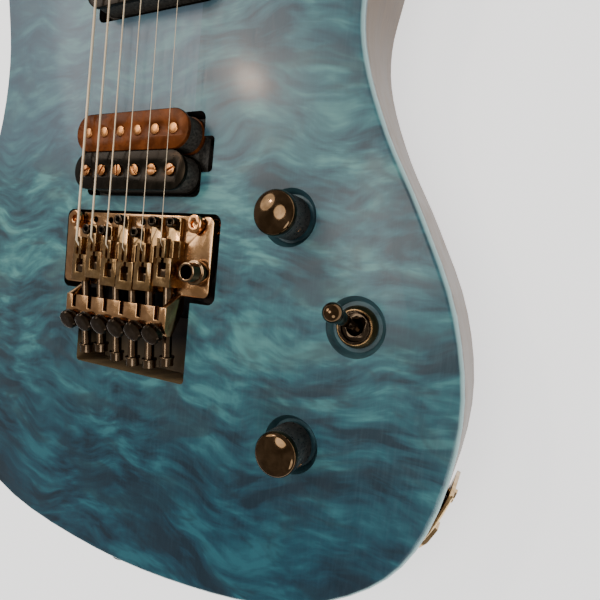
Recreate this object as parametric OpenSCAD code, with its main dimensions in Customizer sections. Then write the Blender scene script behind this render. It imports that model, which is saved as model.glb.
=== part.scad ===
// Solid-body electric guitar, lying on its back. X runs across the body to the treble side,
// Y runs along the strings to the headstock, and Z rises out of the face. The origin is on the
// flat back, below the middle of the saddle line. All sizes are in millimetres.

/* [Strings and scale] */
// Scale length, from the saddle line to the nut
scale_length = 648; // [640:1:660]
// Distance between neighbouring strings at the saddles
bridge_pitch = 10.6; // [10.2:0.1:10.8]
// Distance between neighbouring strings at the nut
nut_pitch = 7.2; // [6.8:0.1:7.4]
// Height of the middle strings above the face, at the saddles
string_rise = 12.9; // [12:0.1:14]

/* [Body] */
// Thickness of the body, from the back to the face
body_t = 44; // [42:1:50]
// Thickness of the figured top
top_t = 6; // [5:0.5:8]
// Half of the widest part of the lower bout
bout_half = 157; // [150:1:170]
// Distance from the saddle line back to the end of the body
tail_reach = 160; // [155:1:175]
// Reach of the treble horn past the saddle line
treble_horn = 240; // [236:1:255]
// Reach of the bass horn past the saddle line
bass_horn = 276; // [260:1:300]

/* [Neck] */
// Width of the neck at the nut
nut_w = 43; // [42:0.5:45]
// Width of the fretboard at its last fret
board_end_w = 57.5; // [56:0.5:59]
// Thickness of the fretboard
board_t = 6; // [5:0.5:7]
// Height of the fretboard above the face of the body
board_rise = 8.5; // [8:0.5:10]
// Radius of the crowned playing surface
board_radius = 305; // [250:5:400]
// Thickness of the neck, fretboard included
neck_t = 20; // [19:0.5:22]
// Depth of the neck pocket below the face
pocket_depth = 16; // [14:0.5:18]
// Length of the neck pocket
pocket_length = 54; // [50:1:58]
// Number of frets
fret_count = 24; // [22:1:24]
// Height of a fret above the board
fret_h = 1.1; // [0.9:0.1:1.3]
// Width of a fret along the neck
fret_w = 2.4; // [2:0.1:2.8]

/* [Headstock] */
// Thickness of the headstock
head_t = 14.5; // [13:0.5:16]
// Drop from the top of the fretboard to the face of the headstock
head_drop = 10.5; // [9:0.5:12]
// Distance between neighbouring tuners along their line
tuner_pitch = 26; // [25:0.5:28]
// Distance from the nut to the first tuner post
first_post = 42; // [40:1:50]
// Radius of a tuner post
post_r = 3; // [2.8:0.1:3.2]

/* [Bridge] */
// Width of the bridge's base plate
plate_w = 93; // [90:0.5:94]
// Thickness of the base plate
plate_t = 2.4; // [2:0.1:3]
// Height of the base plate's top above the face
plate_rise = 1.6; // [1:0.1:2]
// Distance from the saddle line forward to the plate's front edge
plate_front = 13; // [12:0.5:13]
// Distance from the saddle line back to the plate's rear edge
plate_rear = 23; // [22:0.5:25]
// Spacing of the two pivot studs
stud_spacing = 75.8; // [74:0.1:76]
// Distance from the saddle line forward to the studs
stud_y = 9.3; // [9:0.1:10]
// Width of the routed recess round the bridge
recess_w = 98; // [97:0.5:100]
// Depth of the recess under the plate
recess_depth = 10; // [9:0.5:12]
// Width of the tail of the recess
tail_w = 71; // [70:0.5:74]
// Depth of the tail of the recess
tail_depth = 18; // [16:0.5:20]
// Distance from the saddle line back to the end of the tail
tail_end = 64; // [63:0.5:70]
// Height of the sustain block below the plate
block_h = 36; // [33:0.5:36]

/* [Pickups] */
// Length of a pickup bobbin
bobbin_l = 69; // [68:0.5:70]
// Width of a pickup bobbin
bobbin_w = 17.6; // [17:0.1:17.8]
// Distance between the two rows of poles
row_pitch = 18; // [18:0.1:18.4]
// Distance between neighbouring poles
pole_pitch = 10.5; // [10:0.1:10.7]
// Height of a pickup above the face
pickup_rise = 9.2; // [8:0.1:10]
// Distance from the saddle line to the middle of the bridge pickup
bridge_pickup_y = 41; // [40:0.5:43]
// Distance from the saddle line to the middle of the neck pickup
neck_pickup_y = 127; // [124:0.5:127]
// Depth of a pickup cavity
pickup_depth = 19; // [18.5:0.5:20]

/* [Controls] */
// Radius of a control knob
knob_r = 9; // [8:0.5:9.5]
// Height of a knob's crown above the face
knob_rise = 15.6; // [15:0.1:18]
// Radius of the dished recess round a control, at the face
dish_r = 12.1; // [11.5:0.1:13]
// Depth of the dished recess
dish_depth = 3.2; // [2:0.1:3.5]
// Volume control, across from the centre line
volume_x = 82.2; // [80:0.5:84]
// Volume control, forward of the saddle line
volume_y = 14.3; // [12:0.5:16]
// Selector switch, across from the centre line
switch_x = 114.8; // [112:0.5:116]
// Selector switch, forward of the saddle line
switch_y = -26.3; // [-28:0.5:-24]
// Tone control, across from the centre line
tone_x = 92.5; // [90:0.5:94]
// Tone control, forward of the saddle line
tone_y = -77.7; // [-80:0.5:-76]
// Resting lean of the switch lever towards the neck, in degrees
lever_lean = 14; // [12:1:15]
// Length of the switch lever from its pivot to the middle of its tip
lever_l = 27; // [24:0.5:28]

/* [Hidden] */
$fn = 48;

// Clearances
fit = 0.15;            // routed pocket round the piece that sits in it, each side
run = 0.05;            // running fit, on the radius
gap = 0.3;             // between pieces that pass each other
seat = 0.06;           // between a curved seat and the piece on it
through = 1;           // how far a cutter runs past the face it opens
smooth = 720;          // facets of the very large crown radius

// Levels
face_z = body_t;
core_t = body_t - top_t;
board_z = face_z + board_rise;
board_base_z = board_z - board_t;
pocket_z = face_z - pocket_depth;
head_z = board_z - head_drop;
plate_z = face_z + plate_rise;
plate_base_z = plate_z - plate_t;
recess_z = face_z - recess_depth;
tail_z = face_z - tail_depth;

// Strings, bass side first
gauges = [1.17, 0.91, 0.66, 0.43, 0.33, 0.25];
saddle_offsets = [-1.1, 0.9, -1.8, -2.6, -1.9, 0.9];
front_screws = [false, false, true, false, true, true];
string_ids = [0 : 5];
crown_z = board_z + fret_h + 1;
function string_x(i, y) = (i - 2.5) * (bridge_pitch + (nut_pitch - bridge_pitch) * y / scale_length);
function crown(x) = sqrt(board_radius * board_radius - x * x) - board_radius;
function saddle_string_z(i) = face_z + string_rise + crown(string_x(i, 0));
function nut_string_z(i) = crown_z + crown(string_x(i, scale_length));
function fret_y(n) = scale_length * pow(2, -n / 12);

// Neck
last_fret_y = fret_y(fret_count);
board_end = last_fret_y - 6;
heel_end = board_end - 2;
heel_mouth = heel_end + pocket_length;
board_taper = (board_end_w - nut_w) / (scale_length - board_end);
function board_w(y) = nut_w + board_taper * (scale_length - y);
nut_shelf = 16;        // length of the shelf that the nut stands on
neck_bolt_x = 17;
neck_bolt_ys = [heel_end + 12, heel_mouth - 12];
bolt_r = 2.1;
ferrule_r = 7;
ferrule_h = 4;
rod_r = 3;
rod_floor_z = board_base_z - 9;

// Headstock: the post line leans so that each string runs straight from the nut to its post
head_angle = atan(nut_pitch / tuner_pitch);
head_origin = [string_x(0, scale_length) - post_r + 0.4, scale_length + first_post];
function head_pt(along, across) = [
    head_origin[0] + along * sin(head_angle) - across * cos(head_angle),
    head_origin[1] + along * cos(head_angle) + across * sin(head_angle)];
tuner_step = tuner_pitch / cos(head_angle);
function post_at(i) = head_pt(i * tuner_step, 0);
head_edge = 12.5;      // from the post line out to the edge that the keys stand on
post_h = 13;
housing_w = 15;
housing_l = 17;
housing_t = 12;
key_z = head_z - head_t - housing_t / 2;

// Outline of the body, from the end of the tail round the treble side
outline_points = [
    [-12, -tail_reach], [48, -tail_reach + 3.2], [95, -tail_reach + 13.5],
    [bout_half - 26, -tail_reach + 35], [bout_half - 7.5, -97], [bout_half, -56],
    [bout_half - 6, -18], [135.5, 17], [119.5, 47], [108.5, 75], [105.5, 97],
    [109, 120], [114.5, 150], [116, 185], [110, treble_horn - 20],
    [97, treble_horn], [83, treble_horn - 12], [69, heel_mouth + 6], [52, heel_mouth - 1],
    [34, heel_mouth - 2], [10, heel_mouth - 0.5], [-14, heel_mouth + 1], [-36, heel_mouth + 5],
    [-56, heel_mouth + 14], [-76, heel_mouth + 32], [-92, bass_horn - 14],
    [-106, bass_horn], [-121, bass_horn - 16], [-127, 226], [-123, 180], [-113, 135],
    [-108, 95], [-114, 55], [-131, 15], [-bout_half + 7, -20], [-bout_half, -60],
    [-bout_half + 7, -100], [-bout_half + 30, -tail_reach + 31], [-80, -tail_reach + 8]];
outline_steps = 4;
function blend(a, b, c, d, t) = 0.5 * (2 * b + (c - a) * t
    + (2 * a - 5 * b + 4 * c - d) * t * t + (3 * b - a - 3 * c + d) * t * t * t);
function loop_through(p, steps) = [for (i = [0 : len(p) - 1], s = [0 : steps - 1])
    blend(p[(i + len(p) - 1) % len(p)], p[i], p[(i + 1) % len(p)], p[(i + 2) % len(p)], s / steps)];

// Bridge
pivot_y = stud_y - 3.1;
stud_head_r = 4.1;
stud_neck_r = 2.8;
stud_insert_r = 5;
stud_insert_h = 14;
block_x = 27;
block_y = [-18, -6];
bar_z = face_z + 11;
bar_t = 2.6;
bar_y = [-38.5, -28.5];
bar_half = 3 * bridge_pitch;
bar_screw_r = 1.5;
lip_y = -41.5;         // low rail behind the bar
lip_z = bar_z - 5.2;
arm_x = 40.6;
arm_y = -12;
arm_bore_r = 3.1;
arm_collar_r = 4.3;
arm_collar_h = 9;
saddle_w = bridge_pitch - 0.5;
saddle_rear = -20.5;
saddle_screw_r = 1.5;
saddle_head_r = 2.5;
clamp_r = 2.2;
clamp_end = -57;
saddle_rows = [3.9, 9.4];
window_y = [-16.3, -9.8];
rail_y = -7.6;
tuner_tilt = 25;       // lean of a fine tuner's knob back from upright
tuner_knob_r = 4.7;
tuner_knob_t = 4.2;

// Tremolo springs in the back
spring_cavity_x = 38;
spring_cavity_y = [-42, 112];
spring_cavity_h = 18;
spring_xs = [-22, 0, 22];
spring_z = 9;
spring_r = 4.2;
claw_y = 98;
claw_t = 2;
claw_screw_x = 16;

// Pickups
cavity_w = bobbin_l + 3;
cavity_l = row_pitch + bobbin_w + 2.8;
cavity_corner = 3.5;
ear_w = 16;
ear_reach = bobbin_l / 2 + 7.3;
pickup_ys = [bridge_pickup_y, neck_pickup_y];
bobbin_z = face_z + pickup_rise;
flange_t = 2;
bobbin_h = 12.4;
base_t = 1.2;
base_drop = 3.2;       // room for the magnet between the bobbins and the base plate
base_z = bobbin_z - bobbin_h - base_drop - base_t;
leg_z = base_z - 3;
slug_r = 2.4;
core_l = 5 * pole_pitch + 7.5; // the part of a bobbin that the coil is wound on
core_w = 8;
base_half = bobbin_l / 2 - 0.1;
base_w = row_pitch + bobbin_w + 0.4;
pickup_screw_x = bobbin_l / 2 + 3.9;

// Controls
dish_floor_r = 10;
dish_z = face_z - dish_depth;
bush_r = 4.7;
shaft_r = 3;
pot_r = 12;
pot_h = 9;
knob_base_z = face_z - 1.8;
knob_top_z = face_z + knob_rise;
switch_bush_r = 5.6;
switch_pivot_z = face_z - 1;
lever_r = 1.7;
tip_r = 3.6;
cavity_r = 20;
cover_t = 2;
cover_lip = 6;
arc_step = 7.5;        // degrees between the corners of the control cavity's round ends
controls = [[volume_x, volume_y], [switch_x, switch_y], [tone_x, tone_y]];

// Output jack, on the curved side of the lower bout
jack_turn = -33;       // direction that the jack faces
jack_at = [bout_half - 12.6, -105.5];
jack_bend_r = 84;      // radius of the body's side there
jack_z = 22;
plate_half_angle = 16.5;
jack_plate_h = 26;
jack_plate_t = 1.6;
jack_bore_r = 3.2;
jack_sleeve_r = 4.6;

// ---------- shared shapes ----------

module along_y(at, r, len) {
    translate(at) rotate([-90, 0, 0]) cylinder(r = r, h = len);
}

module rod(a, b, r) {
    d = b - a;
    l = norm(d);
    translate(a) rotate([0, acos(d[2] / l), atan2(d[1], d[0])]) cylinder(r = r, h = l, $fn = 24);
}

// Straight slot with round ends between two points of a plane
module slot(a, b, r, z0, z1) {
    d = b - a;
    translate([a[0], a[1], z0]) cylinder(r = r, h = z1 - z0);
    translate([b[0], b[1], z0]) cylinder(r = r, h = z1 - z0);
    translate([a[0], a[1], z0]) rotate([0, 0, atan2(d[1], d[0])])
        translate([0, -r, 0]) cube([norm(d), 2 * r, z1 - z0]);
}

// Box given by its low and high corners
module box(lo, hi) {
    translate(lo) cube(hi - lo);
}

// Box with round upright corners
module round_box(lo, hi, r) {
    box([lo[0] + r, lo[1], lo[2]], [hi[0] - r, hi[1], hi[2]]);
    box([lo[0], lo[1] + r, lo[2]], [hi[0], hi[1] - r, hi[2]]);
    for (x = [lo[0] + r, hi[0] - r], y = [lo[1] + r, hi[1] - r])
        translate([x, y, lo[2]]) cylinder(r = r, h = hi[2] - lo[2]);
}

module crown_cylinder(r, y0, y1) {
    translate([0, y0, board_z - board_radius]) rotate([-90, 0, 0])
        cylinder(r = r, h = y1 - y0, $fn = smooth);
}

// ---------- wood ----------

module outline_2d() {
    polygon(loop_through(outline_points, outline_steps));
}

module pocket_2d(extra) {
    y0 = heel_end - extra;
    y1 = heel_mouth + 8;
    polygon([
        [-board_w(y0) / 2 - extra, y0], [board_w(y0) / 2 + extra, y0],
        [board_w(y1) / 2 + extra, y1], [-board_w(y1) / 2 - extra, y1]]);
}

module pickup_cavity(cy) {
    z0 = face_z - pickup_depth;
    z1 = face_z + through;
    round_box([-cavity_w / 2, cy - cavity_l / 2, z0], [cavity_w / 2, cy + cavity_l / 2, z1], cavity_corner);
    round_box([-ear_reach, cy - ear_w / 2, z0], [ear_reach, cy + ear_w / 2, z1], 2);
}

module bridge_recess() {
    z1 = face_z + through;
    round_box([-recess_w / 2, -26, recess_z], [recess_w / 2, plate_front + 1.5, z1], 4);
    round_box([-tail_w / 2, -tail_end, tail_z], [tail_w / 2, -20, z1], 2);
    box([-block_x - 5, -36, spring_cavity_h - through], [block_x + 5, 1, recess_z + through]);
}

function turn_to(a, b) = atan2(b[1] - a[1], b[0] - a[0]);
function arc(c, r, from, to) = let (n = round((to - from) / arc_step)) [
    for (k = [0 : n]) c + r * [cos(from + (to - from) * k / n), sin(from + (to - from) * k / n)]];

// Round the volume control, along to the tone control and back round the switch
function spread_outline(r) = let (
    a = turn_to(controls[0], controls[1]),
    b = turn_to(controls[1], controls[2]),
    inner = (a + b) / 2 - 90) concat(
        arc(controls[0], r, a + 90, a + 270),
        [controls[1] + r / cos((a - b) / 2) * [cos(inner), sin(inner)]],
        arc(controls[2], r, b - 90, b + 90),
        arc(controls[1], r, b + 90, a + 90));

module control_spread(r, z0, z1) {
    translate([0, 0, z0]) linear_extrude(z1 - z0) polygon(spread_outline(r));
}

module spring_cover_plan(extra, z0, z1) {
    round_box([-spring_cavity_x - cover_lip - extra, spring_cavity_y[0] - cover_lip - extra, z0],
        [spring_cavity_x + cover_lip + extra, spring_cavity_y[1] + cover_lip + extra, z1], 6);
}

module dishes() {
    for (c = controls)
        translate([c[0], c[1], dish_z]) {
            cylinder(r1 = dish_floor_r, r2 = dish_r, h = dish_depth);
            translate([0, 0, dish_depth]) cylinder(r = dish_r, h = through);
        }
}

module control_holes() {
    for (c = [controls[0], controls[2]])
        translate([c[0], c[1], core_t - through]) cylinder(r = bush_r + fit, h = top_t + through);
    translate([switch_x, switch_y, core_t - through])
        cylinder(r = switch_bush_r + fit, h = top_t + through);
}

// Places its children on the side of the body: X outwards, Y along the side, Z up
module at_jack() {
    translate([jack_at[0], jack_at[1], jack_z]) rotate([0, 0, jack_turn]) children();
}

module jack_seat() {
    at_jack() translate([-jack_bend_r, 0, -jack_plate_h / 2 - fit])
        rotate([0, 0, -plate_half_angle - 0.2]) rotate_extrude(angle = 2 * plate_half_angle + 0.4, $fn = 360)
            translate([jack_bend_r, 0]) square([8, jack_plate_h + 2 * fit]);
    at_jack() translate([-46, 0, 0]) rotate([0, 90, 0]) cylinder(r = 10.5, h = 60);
}

module screw_holes() {
    for (x = [-neck_bolt_x, neck_bolt_x], y = neck_bolt_ys)
        translate([x, y, 0]) {
            translate([0, 0, -through]) cylinder(r = bolt_r + 0.4, h = body_t);
            translate([0, 0, -through]) cylinder(r = ferrule_r + run, h = ferrule_h + through);
        }
    for (x = [-1, 1])
        translate([x * stud_spacing / 2, stud_y, recess_z - stud_insert_h])
            cylinder(r = stud_insert_r + run, h = stud_insert_h + through);
    for (x = [-claw_screw_x, claw_screw_x])
        along_y([x, spring_cavity_y[1] - through, spring_z], 1.8, 30);
    for (s = strap_places) strap_place(s) translate([0, 0, -32]) cylinder(r = 2.1, h = 40);
    for (p = cover_screw_places()) translate([p[0], p[1], 0]) cylinder(r = 1.3, h = 12);
    for (x = [-pickup_screw_x, pickup_screw_x], y = pickup_ys)
        translate([x, y, face_z - pickup_depth - 6]) cylinder(r = 1.5, h = 8);
    for (s = [-1, 1]) jack_screw_place(s) translate([-11, 0, 0]) rotate([0, 90, 0])
        cylinder(r = 1.45, h = 14);
}

module body_core() {
    color("#6d4c37") difference() {
        linear_extrude(core_t) outline_2d();
        translate([0, 0, pocket_z]) linear_extrude(body_t) pocket_2d(fit);
        for (y = pickup_ys) pickup_cavity(y);
        bridge_recess();
        box([-spring_cavity_x, spring_cavity_y[0], -through],
            [spring_cavity_x, spring_cavity_y[1], spring_cavity_h]);
        spring_cover_plan(fit, -through, cover_t);
        control_spread(cavity_r, -through, body_t);
        control_spread(cavity_r + cover_lip + fit, -through, cover_t);
        jack_seat();
        screw_holes();
        // drilled ways for the wiring
        rod([30, bridge_pickup_y, 31], [30, neck_pickup_y, 31], 3.5);
        rod([33, bridge_pickup_y, 31], [volume_x, volume_y, 31], 3.5);
    }
}

module body_top() {
    color("#2f6f80") difference() {
        translate([0, 0, core_t]) linear_extrude(top_t) outline_2d();
        translate([0, 0, pocket_z]) linear_extrude(body_t) pocket_2d(fit);
        for (y = pickup_ys) pickup_cavity(y);
        bridge_recess();
        dishes();
        control_holes();
    }
}

// ---------- neck ----------

module neck_section(y, depth) {
    w = board_w(y) / 2;
    translate([0, y, board_base_z]) rotate([90, 0, 0]) linear_extrude(0.02)
        polygon([for (a = [0 : 10 : 180]) [w * cos(a), -depth * sin(a)]]);
}

module head_2d() {
    polygon(loop_through([
        [-nut_w / 2, scale_length + nut_shelf + 2], head_pt(-22, head_edge - 1),
        head_pt(0, head_edge + 1), head_pt(70, head_edge), head_pt(142, head_edge),
        head_pt(157, head_edge - 4), head_pt(160, -8), head_pt(147, -18),
        head_pt(110, -20), head_pt(60, -26), head_pt(25, -31),
        [nut_w / 2 + 1, scale_length + nut_shelf + 14], [nut_w / 2, scale_length + nut_shelf + 2]], 4));
}

module neck() {
    shaft_depth = neck_t - board_t;
    shelf_end = scale_length + nut_shelf;
    color("#c79a63") difference() {
        union() {
            translate([0, 0, pocket_z]) linear_extrude(board_base_z - pocket_z) polygon([
                [-board_w(heel_end) / 2, heel_end], [board_w(heel_end) / 2, heel_end],
                [board_w(heel_mouth) / 2, heel_mouth], [-board_w(heel_mouth) / 2, heel_mouth]]);
            hull() {
                translate([-board_w(heel_mouth) / 2, heel_mouth - 1, pocket_z])
                    cube([board_w(heel_mouth), 1, board_base_z - pocket_z]);
                neck_section(heel_mouth + 26, shaft_depth + 0.5);
            }
            hull() {
                neck_section(heel_mouth + 26, shaft_depth + 0.5);
                neck_section(scale_length - 12, shaft_depth);
            }
            hull() {
                neck_section(scale_length - 12, shaft_depth);
                translate([-nut_w / 2, shelf_end, head_z - head_t])
                    cube([nut_w, 4, head_t]);
                translate([-nut_w / 2, shelf_end - 1, board_base_z - 1]) cube([nut_w, 1, 1]);
            }
            translate([0, 0, head_z - head_t]) linear_extrude(head_t) head_2d();
        }
        box([-rod_r - fit, heel_end + 8, rod_floor_z],
            [rod_r + fit, scale_length - 2, board_base_z + through]);
        for (x = [-neck_bolt_x, neck_bolt_x], y = neck_bolt_ys)
            translate([x, y, pocket_z - through]) cylinder(r = bolt_r + run, h = board_base_z - pocket_z - 3);
        for (i = string_ids) translate([post_at(i)[0], post_at(i)[1], head_z - head_t - through])
            cylinder(r = 5 + run, h = head_t + 2 * through);
        for (x = [-9, 9]) translate([x, scale_length + 8, head_z - head_t - through])
            cylinder(r = 1.6, h = 40);
        for (x = [-retainer_x, retainer_x]) translate([x, retainer_y, head_z - 9])
            cylinder(r = 1.3, h = 12);
    }
}

module fretboard() {
    slot_w = 0.6;
    color("#2a211c") difference() {
        intersection() {
            translate([0, 0, board_base_z]) linear_extrude(board_t) polygon([
                [-board_w(board_end) / 2, board_end], [board_w(board_end) / 2, board_end],
                [nut_w / 2, scale_length - 0.2], [-nut_w / 2, scale_length - 0.2]]);
            crown_cylinder(board_radius, board_end - 1, scale_length + 1);
        }
        for (n = [1 : fret_count])
            box([-40, fret_y(n) - slot_w / 2, board_z - 3.2], [40, fret_y(n) + slot_w / 2, board_z + 1]);
        for (d = dot_places()) translate([d[0], d[1], board_z - 2.6]) cylinder(r = 3.1, h = 4);
    }
}

module frets() {
    color("silver") for (n = [1 : fret_count]) {
        half = board_w(fret_y(n)) / 2 - 0.3;
        intersection() {
            difference() {
                crown_cylinder(board_radius + fret_h, fret_y(n) - fret_w / 2, fret_y(n) + fret_w / 2);
                crown_cylinder(board_radius + seat, fret_y(n) - fret_w, fret_y(n) - 0.25);
                crown_cylinder(board_radius + seat, fret_y(n) + 0.25, fret_y(n) + fret_w);
            }
            box([-half, fret_y(n) - fret_w, board_z - 3], [half, fret_y(n) + fret_w, board_z + 3]);
        }
    }
}

function dot_places() = concat(
    [for (n = [3, 5, 7, 9, 15, 17, 19, 21]) [0, (fret_y(n) + fret_y(n - 1)) / 2]],
    [for (n = [12, 24], x = [-1, 1]) if (n <= fret_count)
        [x * board_w(fret_y(n)) / 4, (fret_y(n) + fret_y(n - 1)) / 2]]);

module position_dots() {
    color("#e8e2d4") for (d = dot_places()) intersection() {
        translate([d[0], d[1], board_z - 2.6]) cylinder(r = 3, h = 3);
        crown_cylinder(board_radius, d[1] - 4, d[1] + 4);
    }
}

module truss_rod() {
    y0 = heel_end + 10;
    color("#777777") {
        along_y([0, y0, rod_floor_z + rod_r], rod_r, scale_length - 6 - y0);
    }
}

module neck_bolts() {
    color("#3a3a3c") for (x = [-neck_bolt_x, neck_bolt_x], y = neck_bolt_ys) translate([x, y, 0]) {
        difference() {
            cylinder(r = ferrule_r, h = ferrule_h);
            translate([0, 0, -through]) cylinder(r = 4.6, h = 3.4);
            cylinder(r = bolt_r + 0.4, h = ferrule_h + 1);
        }
        difference() {
            union() {
                translate([0, 0, 0.4]) cylinder(r = 4.2, h = 2);
                translate([0, 0, 2]) cylinder(r = bolt_r, h = board_base_z - 6);
            }
            cylinder(r = 2, h = 1.6, $fn = 6);
        }
    }
}

// ---------- nut and headstock hardware ----------

nut_y0 = scale_length;
nut_clamp_y = [scale_length + 1.2, scale_length + 14.2];
nut_groove = 0.62;     // height of the clamps' pads above and below the string centres
retainer_x = 22.5;
retainer_y = scale_length + 26;
retainer_r = 2.6;
retainer_z = crown_z - 1.6 + retainer_r;

module nut_base() {
    color("#2c2a2b") difference() {
        box([-nut_w / 2, nut_y0, board_base_z], [nut_w / 2, nut_y0 + nut_shelf, crown_z - nut_groove - 0.9]);
        for (x = [-2, 0, 2]) translate([x * nut_pitch, nut_y0 + 8, board_base_z]) cylinder(r = 2.2, h = 20);
        for (x = [-9, 9]) translate([x, nut_y0 + 8, board_base_z - 1]) cylinder(r = 1.6, h = 3);
    }
}

module nut_clamps() {
    color("#35302e") for (x = [-2, 0, 2]) difference() {
        round_box([x * nut_pitch - 6.4, nut_clamp_y[0], crown_z + nut_groove - 0.2],
            [x * nut_pitch + 6.4, nut_clamp_y[1], crown_z + nut_groove + 4.4], 1.2);
        translate([x * nut_pitch, nut_y0 + 8, crown_z - 2]) cylinder(r = 2.15, h = 12);
        translate([x * nut_pitch, nut_y0 + 8, crown_z + nut_groove + 2.6]) cylinder(r = 3.75, h = 12);
    }
}

module nut_screws() {
    color("#262626") {
        for (x = [-2, 0, 2]) translate([x * nut_pitch, nut_y0 + 8, 0]) difference() {
            union() {
                translate([0, 0, board_base_z + 1]) cylinder(r = 2, h = crown_z - board_base_z + 2);
                translate([0, 0, crown_z + nut_groove + 2.6]) cylinder(r = 3.6, h = 3.4);
            }
            translate([0, 0, crown_z + nut_groove + 4]) cylinder(r = 1.7, h = 4, $fn = 6);
        }
        for (x = [-9, 9]) translate([x, nut_y0 + 8, 0]) {
            translate([0, 0, head_z - head_t - 2]) cylinder(r = 2.8, h = 2);
            translate([0, 0, head_z - head_t - 1])
                cylinder(r = 1.5, h = board_base_z - head_z + head_t + 2.4);
        }
    }
}

module string_retainer() {
    color("#2c2a2b") {
        difference() {
            union() {
                rod([-retainer_x - 4, retainer_y, retainer_z],
                    [retainer_x + 4, retainer_y, retainer_z], retainer_r);
                for (x = [-retainer_x, retainer_x]) translate([x, retainer_y, head_z])
                    cylinder(r = 3, h = retainer_z - head_z);
            }
            for (x = [-retainer_x, retainer_x]) translate([x, retainer_y, head_z - 1])
                cylinder(r = 1.5, h = 20);
        }
        for (x = [-retainer_x, retainer_x]) translate([x, retainer_y, 0]) {
            translate([0, 0, head_z - 8]) cylinder(r = 1.25, h = retainer_z + retainer_r - head_z + 9);
            translate([0, 0, retainer_z + retainer_r]) cylinder(r = 2.6, h = 1.8);
        }
    }
}

module at_tuner(i) {
    translate([post_at(i)[0], post_at(i)[1], 0]) rotate([0, 0, -head_angle]) children();
}

module tuner_housings() {
    back_z = head_z - head_t;
    color("#2f2d2e") for (i = string_ids) at_tuner(i) difference() {
        union() {
            round_box([-housing_l / 2, -housing_w / 2, back_z - housing_t],
                [housing_l / 2, housing_w / 2, back_z], 3);
            translate([-housing_l / 2 - 4, 0, key_z]) rotate([0, 90, 0]) cylinder(r = 3.6, h = 5);
        }
        translate([-housing_l / 2 - 5, 0, key_z]) rotate([0, 90, 0])
            cylinder(r = 2 + run, h = housing_l / 2 + 2);
        translate([0, 0, back_z - housing_t + 2]) cylinder(r = 4.4, h = housing_t);
    }
}

module tuner_bushings() {
    color("#3b3838") for (i = string_ids) at_tuner(i) difference() {
        union() {
            translate([0, 0, head_z - 8]) cylinder(r = 4.9, h = 8.5);
            translate([0, 0, head_z]) cylinder(r = 6.6, h = 0.8);
            translate([0, 0, head_z + 0.8]) cylinder(r = 5.6, h = 2.2, $fn = 6);
        }
        translate([0, 0, head_z - 9]) cylinder(r = post_r + run, h = 14);
    }
}

module tuner_post(i) {
    back_z = head_z - head_t;
    color("#454142") at_tuner(i) difference() {
        union() {
            translate([0, 0, back_z - housing_t + 2.3]) cylinder(r = post_r + 1, h = housing_t - 3);
            translate([0, 0, back_z - 2]) cylinder(r = post_r, h = head_t + post_h + 2);
        }
        translate([-6, 0, head_z + 8]) rotate([0, 90, 0]) cylinder(r = 0.9, h = 12, $fn = 24);
    }
}

module tuner_key(i) {
    x0 = -housing_l / 2 - 4;
    color("#33302f") at_tuner(i) {
        translate([x0 - 3, 0, key_z]) rotate([0, 90, 0]) cylinder(r = 2, h = housing_l / 2 + 1.8);
        translate([x0 - 0.5 - gap - 3, 0, key_z]) rotate([0, 90, 0]) cylinder(r = 3.2, h = 3);
        difference() {
            translate([x0 - 18, -9.5, key_z - 3]) cube([14.6, 19, 6]);
            for (y = [-1, 1]) translate([x0 - 14, y * 12.5, key_z - 5]) cylinder(r = 6, h = 10);
        }
    }
}

module tuner_post_1() { tuner_post(0); }
module tuner_post_2() { tuner_post(1); }
module tuner_post_3() { tuner_post(2); }
module tuner_post_4() { tuner_post(3); }
module tuner_post_5() { tuner_post(4); }
module tuner_post_6() { tuner_post(5); }
module tuner_key_1() { tuner_key(0); }
module tuner_key_2() { tuner_key(1); }
module tuner_key_3() { tuner_key(2); }
module tuner_key_4() { tuner_key(3); }
module tuner_key_5() { tuner_key(4); }
module tuner_key_6() { tuner_key(5); }

// ---------- bridge ----------

module bridge_plate() {
    half = plate_w / 2;
    color("#5a4334") difference() {
        union() {
            round_box([-half, plate_rear * -1, plate_base_z], [half, plate_front, plate_z], 3);
            // arms that rise to the bar of the fine tuners
            for (x = [-bar_half, bar_half - bar_t]) translate([x, 0, 0]) rotate([90, 0, 90])
                linear_extrude(bar_t) polygon([
                    [-plate_rear + 0.7, plate_base_z], [-plate_rear + 0.7, plate_z],
                    [bar_y[1], bar_z], [bar_y[0], bar_z], [lip_y, lip_z + 2.9],
                    [lip_y, lip_z], [-plate_rear - 7, plate_base_z]]);
            box([-bar_half, bar_y[0], bar_z - bar_t], [bar_half, bar_y[1], bar_z]);
            box([-bar_half, lip_y, lip_z], [bar_half, lip_y + 5, lip_z + 2.9]);
        }
        // notches round the pivot studs
        for (x = [-stud_spacing / 2, stud_spacing / 2]) {
            translate([x, stud_y, plate_base_z - through])
                cylinder(r = stud_neck_r + gap, h = plate_t + 2 * through);
            box([x - stud_neck_r - gap, stud_y, plate_base_z - through],
                [x + stud_neck_r + gap, plate_front + through, plate_z + through]);
        }
        // hole for the arm's socket
        translate([arm_x, arm_y, plate_base_z - through])
            cylinder(r = arm_collar_r + run, h = plate_t + 2 * through);
        for (i = string_ids) {
            // slots above the saddles' tails
            box([string_x(i, 0) - 1.3, bar_y[0] + 4, bar_z - bar_t - through],
                [string_x(i, 0) + 1.3, bar_y[1] + through, bar_z + through]);
            at_fine_tuner(i) translate([0, 0, -14]) cylinder(r = bar_screw_r + run, h = 20);
            // threaded holes for the saddles, two rows
            for (y = saddle_rows) translate([string_x(i, 0), y, plate_base_z - through])
                cylinder(r = saddle_screw_r + run, h = plate_t + 2 * through, $fn = 24);
        }
        for (x = [-18, 0, 18]) translate([x, -12, plate_base_z - through])
            cylinder(r = 2.6, h = plate_t + 2 * through);
    }
}

module at_fine_tuner(i) {
    translate([string_x(i, 0), bar_y[0] - 1.1, bar_z - 0.4]) rotate([tuner_tilt, 0, 0]) children();
}

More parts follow.
